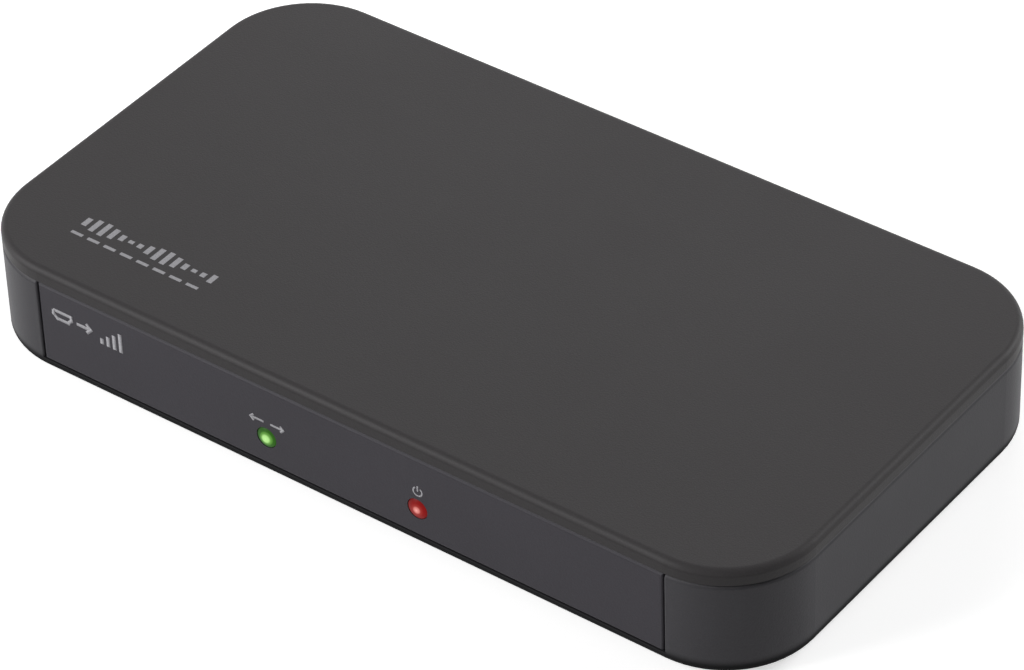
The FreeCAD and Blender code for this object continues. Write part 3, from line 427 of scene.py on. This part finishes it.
for name, node, half_x, half_y in (
        ("video_processor", "hdmi_processor_chip", 7.0, 7.0),
        ("controller", "microcontroller_chip", 3.5, 3.5),
        ("memory", "flash_chip", 1.95, 2.45),
        ("sound_converter", "audio_dac_chip", 2.2, 2.5),
        ("regulator", "voltage_regulator", 3.25, 1.75)):
    two_finishes(name, node, "chip_epoxy", epoxy, tin, legs_of([middle(node)], half_x, half_y))
# The surge protection chips are one node, with two of them to each video socket.
video_in, video_out = middle("hdmi_in_shell")[0], middle("hdmi_out_shell")[0]
surge_row, surge_offset = middle("surge_protection_chips")[1], 2.5
surge_centres = [(x + side * surge_offset, surge_row) for x in (video_in, video_out) for side in (-1, 1)]
two_finishes("surge_chips", "surge_protection_chips", "chip_epoxy", epoxy, tin,
             legs_of(surge_centres, 1.25, 0.7))


# Heatsink and its pad
# The heatsink is a short length of extruded aluminium, anodised black, with drawing lines along its fins.
# A soft blue-grey silicone pad sticks it to the processor.

fin_tree, sizes = new_shape_tree("Base plate with fins", {
    "Width": "Float", "Base": "Float", "Fins": "Int", "Fin thickness": "Float", "Fin height": "Float",
    "Material": "Material"})
plate_size = add_node(fin_tree, "ShaderNodeCombineXYZ",
                      links={0: sizes["Width"], 1: sizes["Width"], 2: sizes["Base"]}).outputs[0]
plate = add_node(fin_tree, "GeometryNodeMeshCube", links={"Size": plate_size}).outputs["Mesh"]
fin_size = add_node(fin_tree, "ShaderNodeCombineXYZ",
                    links={0: sizes["Fin thickness"], 1: sizes["Width"], 2: sizes["Fin height"]}).outputs[0]
fin = add_node(fin_tree, "GeometryNodeMeshCube", links={"Size": fin_size}).outputs["Mesh"]
span = add_node(fin_tree, "ShaderNodeMath", {"operation": "SUBTRACT"},
                {0: sizes["Width"], 1: sizes["Fin thickness"]}).outputs[0]
gaps = add_node(fin_tree, "ShaderNodeMath", {"operation": "SUBTRACT", 1: 1.0}, {0: sizes["Fins"]}).outputs[0]
pitch = add_node(fin_tree, "ShaderNodeMath", {"operation": "DIVIDE"}, {0: span, 1: gaps}).outputs[0]
first = add_node(fin_tree, "ShaderNodeMath", {"operation": "MULTIPLY", 1: -0.5}, {0: span}).outputs[0]
rise = add_node(fin_tree, "ShaderNodeMath", {"operation": "ADD"},
                {0: sizes["Base"], 1: sizes["Fin height"]}).outputs[0]
# The fins stand a hair deep in the plate, so that no two faces share a plane.
lift = add_node(fin_tree, "ShaderNodeMath", {"operation": "MULTIPLY", 1: 0.499}, {0: rise}).outputs[0]
start = add_node(fin_tree, "ShaderNodeCombineXYZ", links={0: first, 2: lift}).outputs[0]
step = add_node(fin_tree, "ShaderNodeCombineXYZ", links={0: pitch}).outputs[0]
row = add_node(fin_tree, "GeometryNodeMeshLine",
               links={"Count": sizes["Fins"], "Start Location": start, "Offset": step}).outputs["Mesh"]
fins = add_node(fin_tree, "GeometryNodeInstanceOnPoints", links={"Points": row, "Instance": fin}).outputs[0]
whole = add_node(fin_tree, "GeometryNodeJoinGeometry")
for part in (plate, fins):
    fin_tree.links.new(part, whole.inputs[0])
add_node(fin_tree, "NodeGroupOutput", links={0: made_real(fin_tree, whole.outputs[0], sizes["Material"])})

# The anodised skin is a dark metal sheen, drawn out in streaks along the fins.
anodised = grained("Black anodised aluminium", "17181a", "242527", 0.35, (0.34, 0.5), metallic=0.7,
                   depth=0.01, stretch=(1.0, 0.08, 1.0))
low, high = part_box("processor_heatsink")
plate_height = 1.5
heatsink = shaped(piece_from(bmesh.new(), "heatsink"), fin_tree, {
    "Width": 20 * mm, "Base": plate_height * mm, "Fins": 8, "Fin thickness": 0.9 * mm,
    "Fin height": 4.0 * mm, "Material": anodised})
heatsink.data.transform(Matrix.Translation((
    (low.x + high.x) / 2, (low.y + high.y) / 2, low.z + plate_height / 2 * mm)))
rounding = heatsink.modifiers.new("extruded edges", "BEVEL")
rounding.width = 0.12 * mm
rounding.segments = 2
settle(heatsink, "case", "heatsink_aluminium", "processor_heatsink")
# The pad is dull and slightly mottled.
pad = grained("Silicone thermal pad", "6f7f8e", "8393a1", 0.6, (0.6, 0.75), depth=0.02)
dress(pad, "thermal_pad")


# Small parts on the board
# Power inductors of ferrite, aluminium capacitor cans on plastic bases, crystals in nickel-silver cans, and
# rows of chip capacitors and resistors with tinned ends, all soldered to the top of the board.

# Sintered ferrite is dull dark grey, like dense chalk.
ferrite = grained("Sintered ferrite", "2a2b2d", "3a3b3d", 0.25, (0.6, 0.75), depth=0.02)
dress(ferrite, "power_inductors")
# The cans have a satin white-metal shine under their clear coat, and their bases are matt black.
can = grained("Coated aluminium can", "b4b6b9", "cfd0d2", 0.8, (0.3, 0.42), metallic=1.0)
base_plastic = grained("Black phenolic base", "131314", "1b1b1c", 0.2, (0.5, 0.6), depth=0.01)
base_top = 6.01
two_finishes("capacitor_cans", "electrolytic_capacitors", "capacitor_can", can, base_plastic,
             lambda point: point.z < base_top)
# Drawn nickel silver is a warm bright grey with faint lines along the draw.
silver = grained("Drawn nickel-silver can", "a9a7a0", "c4c1b8", 0.5, (0.22, 0.4), metallic=1.0,
                 depth=0.005, stretch=(0.1, 1.0, 1.0))
dress(silver, "clock_crystals")

chip_part_tree, sizes = new_shape_tree("Chip parts on points", {
    "Geometry": "Geometry", "Length": "Float", "Width": "Float", "Height": "Float", "End": "Float",
    "Turn": "Float", "Body material": "Material", "End material": "Material"})
inner = add_node(chip_part_tree, "ShaderNodeMath", {"operation": "MULTIPLY_ADD", 1: -2.0},
                 {0: sizes["End"], 2: sizes["Length"]}).outputs[0]
body_size = add_node(chip_part_tree, "ShaderNodeCombineXYZ",
                     links={0: inner, 1: sizes["Width"], 2: sizes["Height"]}).outputs[0]
body = add_node(chip_part_tree, "GeometryNodeMeshCube", links={"Size": body_size}).outputs["Mesh"]
end_size = add_node(chip_part_tree, "ShaderNodeCombineXYZ",
                    links={0: sizes["End"], 1: sizes["Width"], 2: sizes["Height"]}).outputs[0]
end = add_node(chip_part_tree, "GeometryNodeMeshCube", links={"Size": end_size}).outputs["Mesh"]
reach = add_node(chip_part_tree, "ShaderNodeMath", {"operation": "SUBTRACT"},
                 {0: sizes["Length"], 1: sizes["End"]}).outputs[0]
ends = add_node(chip_part_tree, "GeometryNodeJoinGeometry")
for side in (-0.5, 0.5):
    out = add_node(chip_part_tree, "ShaderNodeMath", {"operation": "MULTIPLY", 1: side},
                   {0: reach}).outputs[0]
    shift = add_node(chip_part_tree, "ShaderNodeCombineXYZ", links={0: out}).outputs[0]
    moved = add_node(chip_part_tree, "GeometryNodeTransform", links={0: end, "Translation": shift}).outputs[0]
    chip_part_tree.links.new(moved, ends.inputs[0])
turn = add_node(chip_part_tree, "ShaderNodeCombineXYZ", links={2: sizes["Turn"]}).outputs[0]
whole = add_node(chip_part_tree, "GeometryNodeJoinGeometry")
for part, material in ((body, "Body material"), (ends.outputs[0], "End material")):
    copies = add_node(chip_part_tree, "GeometryNodeInstanceOnPoints", links={
        "Points": sizes["Geometry"], "Instance": part, "Rotation": turn}).outputs[0]
    chip_part_tree.links.new(made_real(chip_part_tree, copies, sizes[material]), whole.inputs[0])
add_node(chip_part_tree, "NodeGroupOutput", links={0: whole.outputs[0]})


def points_piece(name, points):
    mesh = bpy.data.meshes.new(name)
    mesh.from_pydata([Vector(point) * mm for point in points], [], [])
    return new_object(name, mesh)


# The ceramic is a plain tan with a slight sheen, and the resistors' glaze black and glossy.
ceramic = grained("Barium titanate ceramic", "8a7358", "9c8567", 0.2, (0.4, 0.5))
glaze = grained("Glazed resistor film", "101113", "1a1b1e", 0.3, (0.2, 0.3))
board_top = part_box("main_board")[1].z / mm
length, width, spacing = 1.6, 0.8, 3
(x, y), beside, height, count = middle("processor_heatsink"), 12.0, 0.8, 6
spots = [(x + side * beside, y + (number - (count - 1) / 2) * spacing, board_top + height / 2)
         for side in (-1, 1) for number in range(count)]
chip_capacitors = shaped(points_piece("ceramic_capacitors", spots), chip_part_tree, {
    "Length": length * mm, "Width": width * mm, "Height": height * mm, "End": 0.35 * mm, "Turn": 0.0,
    "Body material": ceramic, "End material": tin})
settle(chip_capacitors, "case", "capacitor_ceramic", "chip_capacitors")
y, height, count = middle("chip_resistors")[1], 0.5, 20
spots = [((number - (count - 1) / 2) * spacing, y, board_top + height / 2) for number in range(count)]
chip_resistors = shaped(points_piece("film_resistors", spots), chip_part_tree, {
    "Length": length * mm, "Width": width * mm, "Height": height * mm, "End": 0.3 * mm, "Turn": math.pi / 2,
    "Body material": glaze, "End material": tin})
settle(chip_resistors, "case", "resistor_body", "chip_resistors")


# Video sockets
# Each socket is a folded shell of nickel-plated brass round a black insulator, whose tongue carries
# gold-plated contacts. Tabs of the shell go through the board and are soldered there.

def softened(node, slot, material, width):
    """A merged copy of a node, in place of it, with its crisp edges rounded off by this many mm. Faces that
    meet flatter than the first angle, in degrees, are joined, and edges past the second are rounded."""
    flat, crease = 0.3, 40
    work = merged_copy(node)
    bmesh.ops.dissolve_limit(work, angle_limit=math.radians(flat), verts=work.verts, edges=work.edges)
    mesh = bpy.data.meshes.new(node + "_piece")
    work.to_mesh(mesh)
    work.free()
    mesh.polygons.foreach_set("use_smooth", [True] * len(mesh.polygons))
    mesh.materials.append(material)
    piece = new_object(node + "_piece", mesh)
    edges = piece.modifiers.new("rounded edges", "BEVEL")
    edges.width = width * mm
    edges.segments = 2
    edges.limit_method = "ANGLE"
    edges.angle_limit = math.radians(crease)
    shading = piece.modifiers.new("flat faces stay flat", "WEIGHTED_NORMAL")
    shading.weight = 100
    keep_shape(piece)
    settle(piece, nodes[node]["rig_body"], slot, node)


# The nickel is satin, with rolling lines along the shell, and the gold thin, warm and smooth.
nickel = grained("Nickel-plated brass sheet", "b9b6ae", "d2cfc6", 0.5, (0.24, 0.34), metallic=1.0,
                 depth=0.002, stretch=(1.0, 0.15, 1.0))
gold = grained("Gold-plated bronze", "c79a3c", "e0b75c", 0.4, (0.2, 0.32), metallic=1.0)
# The polyester is black with a low sheen, which its glass fibres draw out along the flow.
pbt = grained("Glass-filled polyester", "121213", "1c1c1d", 0.3, (0.42, 0.56), depth=0.01,
              stretch=(1.0, 0.4, 1.0))
for way in ("in", "out"):
    softened(f"hdmi_{way}_shell", "nickel_shell", nickel, 0.06)
    softened(f"hdmi_{way}_insulator", "socket_plastic", pbt, 0.1)
    dress(gold, f"hdmi_{way}_contacts")


# Optical socket
# A black polyester housing with a hinged dust shutter in its mouth. The shutter turns on a pin of dark music
# wire, a fine torsion spring of the same closes it, and the light emitter sits behind.

softened("optical_housing", "socket_plastic", pbt, 0.12)
# The shutter is a shade lighter and smoother than the housing round it.
flap = grained("Moulded polyamide shutter", "1d1d1f", "27272a", 0.25, (0.4, 0.5), depth=0.01)
softened("optical_shutter", "socket_plastic", flap, 0.08)
# Drawn steel wire shines dark grey under its film of oil, and the emitter is glossy and smoky red.
wire = grained("Dark music wire", "3c3c3e", "4c4c4e", 0.4, (0.34, 0.46), metallic=1.0)
dress(wire, "optical_shutter_pin", "optical_shutter_spring")
emitter = grained("Smoked emitter epoxy", "2b1a1c", "3a2224", 0.8, (0.12, 0.2))
dress(emitter, "optical_emitter")


# Headphone socket and power socket
# Both have black polyester housings. The headphone socket has a nickel-plated bushing and gold-plated
# springs, and the power socket a bright steel centre pin and a tinned leaf spring.

softened("audio_jack_housing", "socket_plastic", pbt, 0.12)
softened("power_jack_housing", "socket_plastic", pbt, 0.12)
softened("audio_jack_bushing", "nickel_shell", nickel, 0.15)
dress(gold, "audio_jack_contacts")
dress(tin, "power_jack_contact")
# The pin is turned from drawn steel, bright and nearly mirror smooth.
steel = grained("Drawn bright steel", "b0b2b4", "cacccd", 0.4, (0.16, 0.28), metallic=1.0)
dress(steel, "power_jack_pin")


# Mode switch
# A slide switch in a folded nickel-plated frame over a black base with tinned terminals. A black acetal knob
# stands out of the rear panel, and carries a gold-plated wiper inside.

softened("mode_switch_case", "nickel_shell", nickel, 0.05)
dress(pbt, "mode_switch_base")
dress(gold, "mode_switch_wiper")
dress(tin, "mode_switch_terminals")
# Acetal is slippery, with a soft even sheen.
acetal = grained("Moulded acetal", "1b1b1c", "242425", 0.3, (0.34, 0.44), depth=0.008)
dress(acetal, "mode_switch_knob")


# Status lamps
# Two 3 mm lamps of cast tinted epoxy, green on the left and red on the right, on tinned leads and held by
# nylon blocks. Their domed ends stand out of the front panel by a fraction of a millimetre.

def lamp_epoxy(name, axis_x, axis_z, tint, stops):
    """Lit tinted epoxy about an axis along Y, with its place in mm. The stops are distances from the axis in
    mm, the last at the lamp's edge, and colours."""
    material, tree = new_material(name)
    place = add_node(tree, "ShaderNodeTexCoord").outputs["Object"]
    offset = add_node(tree, "ShaderNodeVectorMath",
                      {"operation": "SUBTRACT", 1: (axis_x * mm, 0, axis_z * mm)}, {0: place}).outputs[0]
    flat = add_node(tree, "ShaderNodeVectorMath", {"operation": "MULTIPLY", 1: (1.0, 0.0, 1.0)},
                    {0: offset}).outputs[0]
    far = add_node(tree, "ShaderNodeVectorMath", {"operation": "LENGTH"}, {0: flat}).outputs["Value"]
    reach = 1.6
    share = add_node(tree, "ShaderNodeMath", {"operation": "DIVIDE", 1: reach * mm}, {0: far}).outputs[0]
    ramp = add_node(tree, "ShaderNodeValToRGB", links={0: share})
    ramp.color_ramp.interpolation = "EASE"
    for index, (distance, colour) in enumerate(stops):
        if index < 2:
            stop = ramp.color_ramp.elements[index]
            stop.position = distance / reach
        else:
            stop = ramp.color_ramp.elements.new(distance / reach)
        stop.color = linear(colour)
    glow = add_node(tree, "ShaderNodeBsdfPrincipled",
                    {"Base Color": linear(tint), "Roughness": 0.35, "IOR": 1.5, "Specular IOR Level": 0.06,
                     "Emission Strength": 1.0}, {"Emission Color": ramp.outputs[0]})
    add_node(tree, "ShaderNodeOutputMaterial", links={"Surface": glow.outputs[0]})
    return material


# The lit crystal shows as a pale spot, a little off the lamp's axis, and the tint darkens towards the rim.
green_epoxy = lamp_epoxy("Green tinted epoxy", -11.85, 7.1, "040803", [
    (0.0, "c2f69c"), (0.4, "b6ec90"), (0.8, "5e963e"), (1.1, "2e6018"), (1.55, "254e14")])
red_epoxy = lamp_epoxy("Red tinted epoxy", 12.15, 7.1, "070202", [
    (0.0, "f8b0a8"), (0.3, "e08880"), (0.65, "9a2c28"), (1.0, "861210"), (1.55, "6c0e0c")])
flange_radius, flange_height, lamp_radius = 1.9, 1.0, 1.5
dome = [(lamp_radius, 2.68), (1.47, 2.75), (1.38, 2.81), (1.2, 2.91), (1.0, 3.0), (0.75, 3.09), (0.5, 3.15),
        (0.25, 3.19), (0, 3.2)]
lamp_profile = [(0, 0), (flange_radius, 0), (flange_radius, flange_height),
                (lamp_radius, flange_height)] + dome
for name, node, material in (("green_lamp", "link_led", green_epoxy), ("red_lamp", "power_led", red_epoxy)):
    lamp = turned(name, lamp_profile)
    low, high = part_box(node)
    lamp.data.transform(Matrix.Translation(((low.x + high.x) / 2, high.y, (low.z + high.z) / 2))
                        @ Matrix.Rotation(math.pi / 2, 4, "X"))
    lamp.data.materials.append(material)
    settle(lamp, "case", name, node)
# Natural nylon is a waxy off-white.
nylon = grained("Natural nylon", "c9c7bc", "dad8cd", 0.5, (0.4, 0.5))
dress(nylon, "led_holders")
dress(tin, "led_leads")


# Rear panel
# A flush plate of the same ABS with an opening for each socket, moulded apart. Ribs of the shell hold its end
# tabs against the posts. Its small marks are screen printed: arrows, light rays, a headphone, a polarity.

# Its rounded top edge is painted lighter towards the rim, as a painted highlight along the edge and as
# painted light in the shaded seam under the cover, in the same way as the shell's rim.
panel_painted_highlight, panel_painted_light_rim = (14.65, 14.85, "3b393e"), (14.95, 15.08, "565559")
panel_abs = moulded_abs("Moulded ABS panel", "333136", "37353a", [panel_painted_highlight, panel_painted_light_rim])
panel_rounding = 0.14
softened("rear_panel", "case_plastic", panel_abs, panel_rounding)

# The ink is flat and pale, and slightly broken by the threads of the screen.
thread_pitch = 0.12
ink, tree = new_material("Pale grey screen ink")
place = add_node(tree, "ShaderNodeTexCoord").outputs["Object"]
mesh_marks = add_node(tree, "ShaderNodeTexNoise", {"Scale": 1 / (thread_pitch * mm), "Detail": 2.0},
                      {"Vector": place}).outputs["Fac"]
tone = add_node(tree, "ShaderNodeMapRange", {1: 0.35, 2: 0.65}, {0: mesh_marks}).outputs[0]
base = add_node(tree, "ShaderNodeMix", {"data_type": "RGBA", 6: linear("8f8e92"), 7: linear("a9a8ac")},
                {0: tone}).outputs[2]
surface = add_node(tree, "ShaderNodeBsdfPrincipled", {"Roughness": 0.6, "Specular IOR Level": 0.25},
                   {"Base Color": base})
add_node(tree, "ShaderNodeOutputMaterial", links={"Surface": surface.outputs[0]})

stroke_tree, sizes = new_shape_tree("Printed strokes", {
    "Geometry": "Geometry", "Width": "Float", "Thickness": "Float", "Material": "Material"})
paths = add_node(stroke_tree, "GeometryNodeMeshToCurve", links={0: sizes["Geometry"]}).outputs[0]
paths = add_node(stroke_tree, "GeometryNodeSetCurveNormal", {"mode": "Z_UP"}, {0: paths}).outputs[0]
section = add_node(stroke_tree, "GeometryNodeCurvePrimitiveQuadrilateral",
                   links={"Width": sizes["Width"], "Height": sizes["Thickness"]}).outputs[0]
strokes = add_node(stroke_tree, "GeometryNodeCurveToMesh", {"Fill Caps": True},
                   {"Curve": paths, "Profile Curve": section}).outputs[0]
add_node(stroke_tree, "NodeGroupOutput", links={0: made_real(stroke_tree, strokes, sizes["Material"])})

ink_depth = 0.03 * mm
rear_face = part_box("rear_panel")[1].y
on_rear = Matrix(((-1, 0, 0, 0), (0, 0, 1, rear_face), (0, 1, 0, 0), (0, 0, 0, 1)))


def strokes_of(line, half):
    """Splits a line at its sharp corners. The split ends reach on by half a stroke, so that corners fill."""
    bent = 0.9
    strokes = [[Vector(line[0])]]
    for index in range(1, len(line)):
        here = Vector(line[index])
        strokes[-1].append(here)
        if index + 1 < len(line):
            before = (here - strokes[-1][-2]).normalized()
            after = (Vector(line[index + 1]) - here).normalized()
            if before.dot(after) < bent:
                strokes[-1][-1] = here + before * half
                strokes.append([here - after * half])
    return strokes


def printed(name, lines, width, lay):
    """Screen-printed strokes through points in mm, drawn flat and then laid on a face of the case. Each
    stroke lies a hair above the last, so that no two share a face."""
    hair = 0.0008
    points, edges = [], []
    strokes = [stroke for line in lines for stroke in strokes_of(line, width / 2)]
    for number, stroke in enumerate(strokes):
        first = len(points)
        points += [(point.x * mm, point.y * mm, number * hair * mm) for point in stroke]
        edges += [(index, index + 1) for index in range(first, len(points) - 1)]
    mesh = bpy.data.meshes.new(name)
    mesh.from_pydata(points, edges, [])
    piece = shaped(new_object(name, mesh), stroke_tree, {
        "Width": width * mm, "Thickness": ink_depth, "Material": ink})
    piece.data.transform(lay)
    settle(piece, "case", "case_plastic")


def arc(x, y, radius, start, end, steps=10):
    turns = [math.radians(start + (end - start) * step / steps) for step in range(steps + 1)]
    return [(x + radius * math.cos(turn), y + radius * math.sin(turn)) for turn in turns]


def arrow(x0, x1, y, head):
    """An arrow along the row, from x0 to x1."""
    back = math.copysign(head, x0 - x1)
    return [[(x0, y), (x1, y)], [(x1 + back, y + head), (x1, y), (x1 + back, y - head)]]


def socket_outline(x, y):
    half, bevel = 1.5, 0.6
    return [[(x - half, y + bevel), (x + half, y + bevel), (x + half, y), (x + half - bevel, y - bevel),
             (x - half + bevel, y - bevel), (x - half, y), (x - half, y + bevel)]]


# Seen from behind, x runs the other way. Each mark keeps to a place (x, y) over or beside its opening.
x, y = -video_in, 12.6
printed("mark_video_in", socket_outline(x - 1.4, y) + arrow(x + 3.4, x + 0.9, y, 0.6), 0.28, on_rear)
x = -video_out
printed("mark_video_out", socket_outline(x - 1.4, y) + arrow(x + 0.9, x + 3.4, y, 0.6), 0.28, on_rear)
x, y = 20.6, 9.6
printed("mark_light", [arc(x, y, radius, -50, 50) for radius in (0.7, 1.4, 2.1)], 0.28, on_rear)
x, y, radius = -middle("audio_jack_housing")[0], 12.4, 1.1
ear_cups = [[(x + side * radius, y), (x + side * radius, y - 0.8)] for side in (-1, 1)]
printed("mark_headphone", [arc(x, y, radius, 0, 180, 14)] + ear_cups, 0.3, on_rear)
x, y = -31.9, 9.4
pole, ring = arc(x, y, 0.45, 0, 360, 16), arc(x, y, 1.0, 50, 310, 16)
marks = [pole, ring, [(x + 0.45, y), (x + 2.0, y)], [(x - 2.1, y), (x - 1.0, y)]]
printed("mark_power_polarity", marks, 0.26, on_rear)
x, y, travel = -middle("mode_switch_case")[0], 11.3, 2
marks = [[(x + side * travel - 0.35, y), (x + side * travel + 0.35, y)] for side in (-1, 1)]
printed("mark_switch_places", marks, 0.5, on_rear)


# Front panel
# The same ABS plate with two lamp holes. Its printed marks are generic ones: a socket outline with an
# arrow and sound levels, two opposed arrows over the green lamp, and a power ring over the red one.

softened("front_panel", "case_plastic", panel_abs, panel_rounding)
front_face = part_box("front_panel")[0].y
on_front = Matrix(((1, 0, 0, 0), (0, 0, -1, front_face), (0, 1, 0, 0), (0, 0, 0, 1)))
y = 11.2
printed("mark_socket_and_arrow", socket_outline(-45.4, y) + arrow(-43.0, -40.6, y, 0.75), 0.5, on_front)
x, y, pitch = -38.8, 9.8, 1.05
marks = [[(x + pitch * step, y), (x + pitch * step, y + height)]
         for step, height in enumerate((0.9, 1.6, 2.3, 3.0))]
printed("mark_levels", marks, 0.62, on_front)
y = 9.5
printed("mark_two_ways", arrow(-12.3, -14.4, y, 0.5) + arrow(-11.2, -9.1, y, 0.5), 0.34, on_front)
x, y = 12.2, 9.9
printed("mark_power", [arc(x, y, 0.68, 125, 415, 20), [(x, y + 0.05), (x, y + 0.9)]], 0.24, on_front)


# Top cover
# A shallow ABS lid with a rounded edge, matt like the rest, held from below by the case screws. Its side is
# painted a shade darker than its top, as painted shade. Printed sound levels over a dashed line mark its
# front left corner.

# Heights in mm: below them the side keeps the darker colour, painted shade, and above them the top's colour.
painted_shade_side = (16.75, 17.05, "393738")
cover_abs = moulded_abs("Moulded ABS cover", "2d2b2c", "302e2f", [painted_shade_side], foot=(16.9, 17.2, 0.44))
dress(cover_abs, "top_cover")

level_tree, sizes = new_shape_tree("Row of level bars", {
    "Count": "Int", "Pitch": "Float", "Bar width": "Float", "Low": "Float", "High": "Float", "Beat": "Float",
    "Thickness": "Float", "Material": "Material"})
step = add_node(level_tree, "ShaderNodeCombineXYZ", links={0: sizes["Pitch"]}).outputs[0]
row = add_node(level_tree, "GeometryNodeMeshLine", links={"Count": sizes["Count"], "Offset": step}).outputs[0]
number = add_node(level_tree, "GeometryNodeInputIndex").outputs[0]
beat = add_node(level_tree, "ShaderNodeMath", {"operation": "MULTIPLY"},
                {0: number, 1: sizes["Beat"]}).outputs[0]
swing = add_node(level_tree, "ShaderNodeMath", {"operation": "SINE"}, {0: beat}).outputs[0]
tall = add_node(level_tree, "ShaderNodeMapRange", {1: -1.0, 2: 1.0},
                {0: swing, 3: sizes["Low"], 4: sizes["High"]}).outputs[0]
scale = add_node(level_tree, "ShaderNodeCombineXYZ",
                 links={0: sizes["Bar width"], 1: tall, 2: sizes["Thickness"]}).outputs[0]
bar = add_node(level_tree, "GeometryNodeMeshCube", {"Size": (1.0, 1.0, 1.0)}).outputs["Mesh"]
bars = add_node(level_tree, "GeometryNodeInstanceOnPoints",
                links={"Points": row, "Instance": bar, "Scale": scale}).outputs[0]
add_node(level_tree, "NodeGroupOutput", links={0: made_real(level_tree, bars, sizes["Material"])})

top_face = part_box("top_cover")[1].z
for name, x, y, count, pitch, width, lowest, highest, beat in (
        ("mark_cover_levels", -50, -23.4, 15, 1.5, 0.8, 0.6, 2.7, 0.9),
        ("mark_cover_dashes", -49.5, -26.0, 8, 2.75, 1.9, 0.5, 0.5, 0.0)):
    row = shaped(points_piece(name, []), level_tree, {
        "Count": count, "Pitch": pitch * mm, "Bar width": width * mm, "Low": lowest * mm,
        "High": highest * mm, "Beat": beat, "Thickness": ink_depth, "Material": ink})
    row.data.transform(Matrix.Translation((x * mm, y * mm, top_face)))
    settle(row, "case", "case_plastic")


# Studio
# A floor of matt white paper that pales into a white backdrop away from the object, soft boxes at the front
# left, the rear right and the rear, and a long lens from the front right.

def seen_directly(tree):
    """One for the camera's own rays and those of reflections and clear material, zero for lighting."""
    path = add_node(tree, "ShaderNodeLightPath").outputs
    seen = add_node(tree, "ShaderNodeMath", {"operation": "MAXIMUM"},
                    {0: path["Is Camera Ray"], 1: path["Is Glossy Ray"]}).outputs[0]
    return add_node(tree, "ShaderNodeMath", {"operation": "MAXIMUM"},
                    {0: seen, 1: path["Is Transmission Ray"]}).outputs[0]


# The paper is even and without shine. From 0.3 m to 0.8 m off the object it glows more and more, so that no
# edge shows against the backdrop, and none of that lights the object.
near, far, near_glow, far_glow = 0.3, 0.8, 0.6, 1.0
full_white = (1.0, 1.0, 1.0, 1.0)
paper, tree = new_material("Matt white paper")
distance = add_node(tree, "ShaderNodeVectorMath", {"operation": "LENGTH"},
                    {0: add_node(tree, "ShaderNodeTexCoord").outputs["Object"]}).outputs["Value"]
sweep = add_node(tree, "ShaderNodeMapRange", {1: near, 2: far, 3: near_glow, 4: far_glow},
                 {0: distance}).outputs[0]
lift = add_node(tree, "ShaderNodeMath", {"operation": "MULTIPLY"},
                {0: seen_directly(tree), 1: sweep}).outputs[0]
lifted = add_node(tree, "ShaderNodeEmission", {"Color": full_white}, {"Strength": lift}).outputs[0]
matt = add_node(tree, "ShaderNodeBsdfDiffuse", {"Color": linear("f1f1f1")}).outputs[0]
both = add_node(tree, "ShaderNodeAddShader", links={0: matt, 1: lifted}).outputs[0]
add_node(tree, "ShaderNodeOutputMaterial", links={"Surface": both})
work = bmesh.new()
bmesh.ops.create_grid(work, x_segments=2, y_segments=2, size=3.0)
floor = piece_from(work, "floor")
floor.data.materials.append(paper)

world = bpy.data.worlds.new("White studio")
bpy.context.scene.world = world
world.use_nodes = True
tree = world.node_tree
tree.nodes.clear()
# The backdrop is white to look at, and lights the object only as a dim room would.
room_light = 0.114
dim = add_node(tree, "ShaderNodeBackground", {"Color": full_white, "Strength": room_light}).outputs[0]
white = add_node(tree, "ShaderNodeBackground", {"Color": full_white, "Strength": 1.0}).outputs[0]
sky = add_node(tree, "ShaderNodeMixShader", links={0: seen_directly(tree), 1: dim, 2: white}).outputs[0]
add_node(tree, "ShaderNodeOutputWorld", links={"Surface": sky})

# The soft boxes face the object. Their places and sizes are in metres, and their power in watts.
for name, place, size, power in (
        ("left soft box", (-0.742, -0.796, 0.507), 0.7, 13.7),
        ("right soft box", (0.544, 0.942, 0.507), 0.7, 10.3),
        ("rear soft box", (-0.3, 0.5, 0.35), 0.35, 0.58)):
    lamp = bpy.data.lights.new(name, "AREA")
    lamp.size = size
    lamp.energy = power
    box = new_object(name, lamp)
    box.location = place
    box.rotation_euler = Vector(place).to_track_quat("Z", "Y").to_euler()

# The camera's place, turn and lens were solved from the case's edges and corners.
view = bpy.data.cameras.new("photograph")
view.sensor_fit = "HORIZONTAL"
view.sensor_width = 36.0
view.lens = 179.976
view.clip_start = 0.02
view.clip_end = 20.0
camera = new_object("photograph", view)
right, up, back = (0.80194, 0.59676, -0.02785), (-0.35881, 0.5184, 0.77622), (0.47765, -0.61248, 0.62985)
turn = Matrix((right, up, back)).transposed().to_4x4()
camera.matrix_world = Matrix.Translation((0.31675, -0.40495, 0.42306)) @ turn
bpy.context.scene.camera = camera
bpy.context.scene.view_settings.view_transform = "Standard"
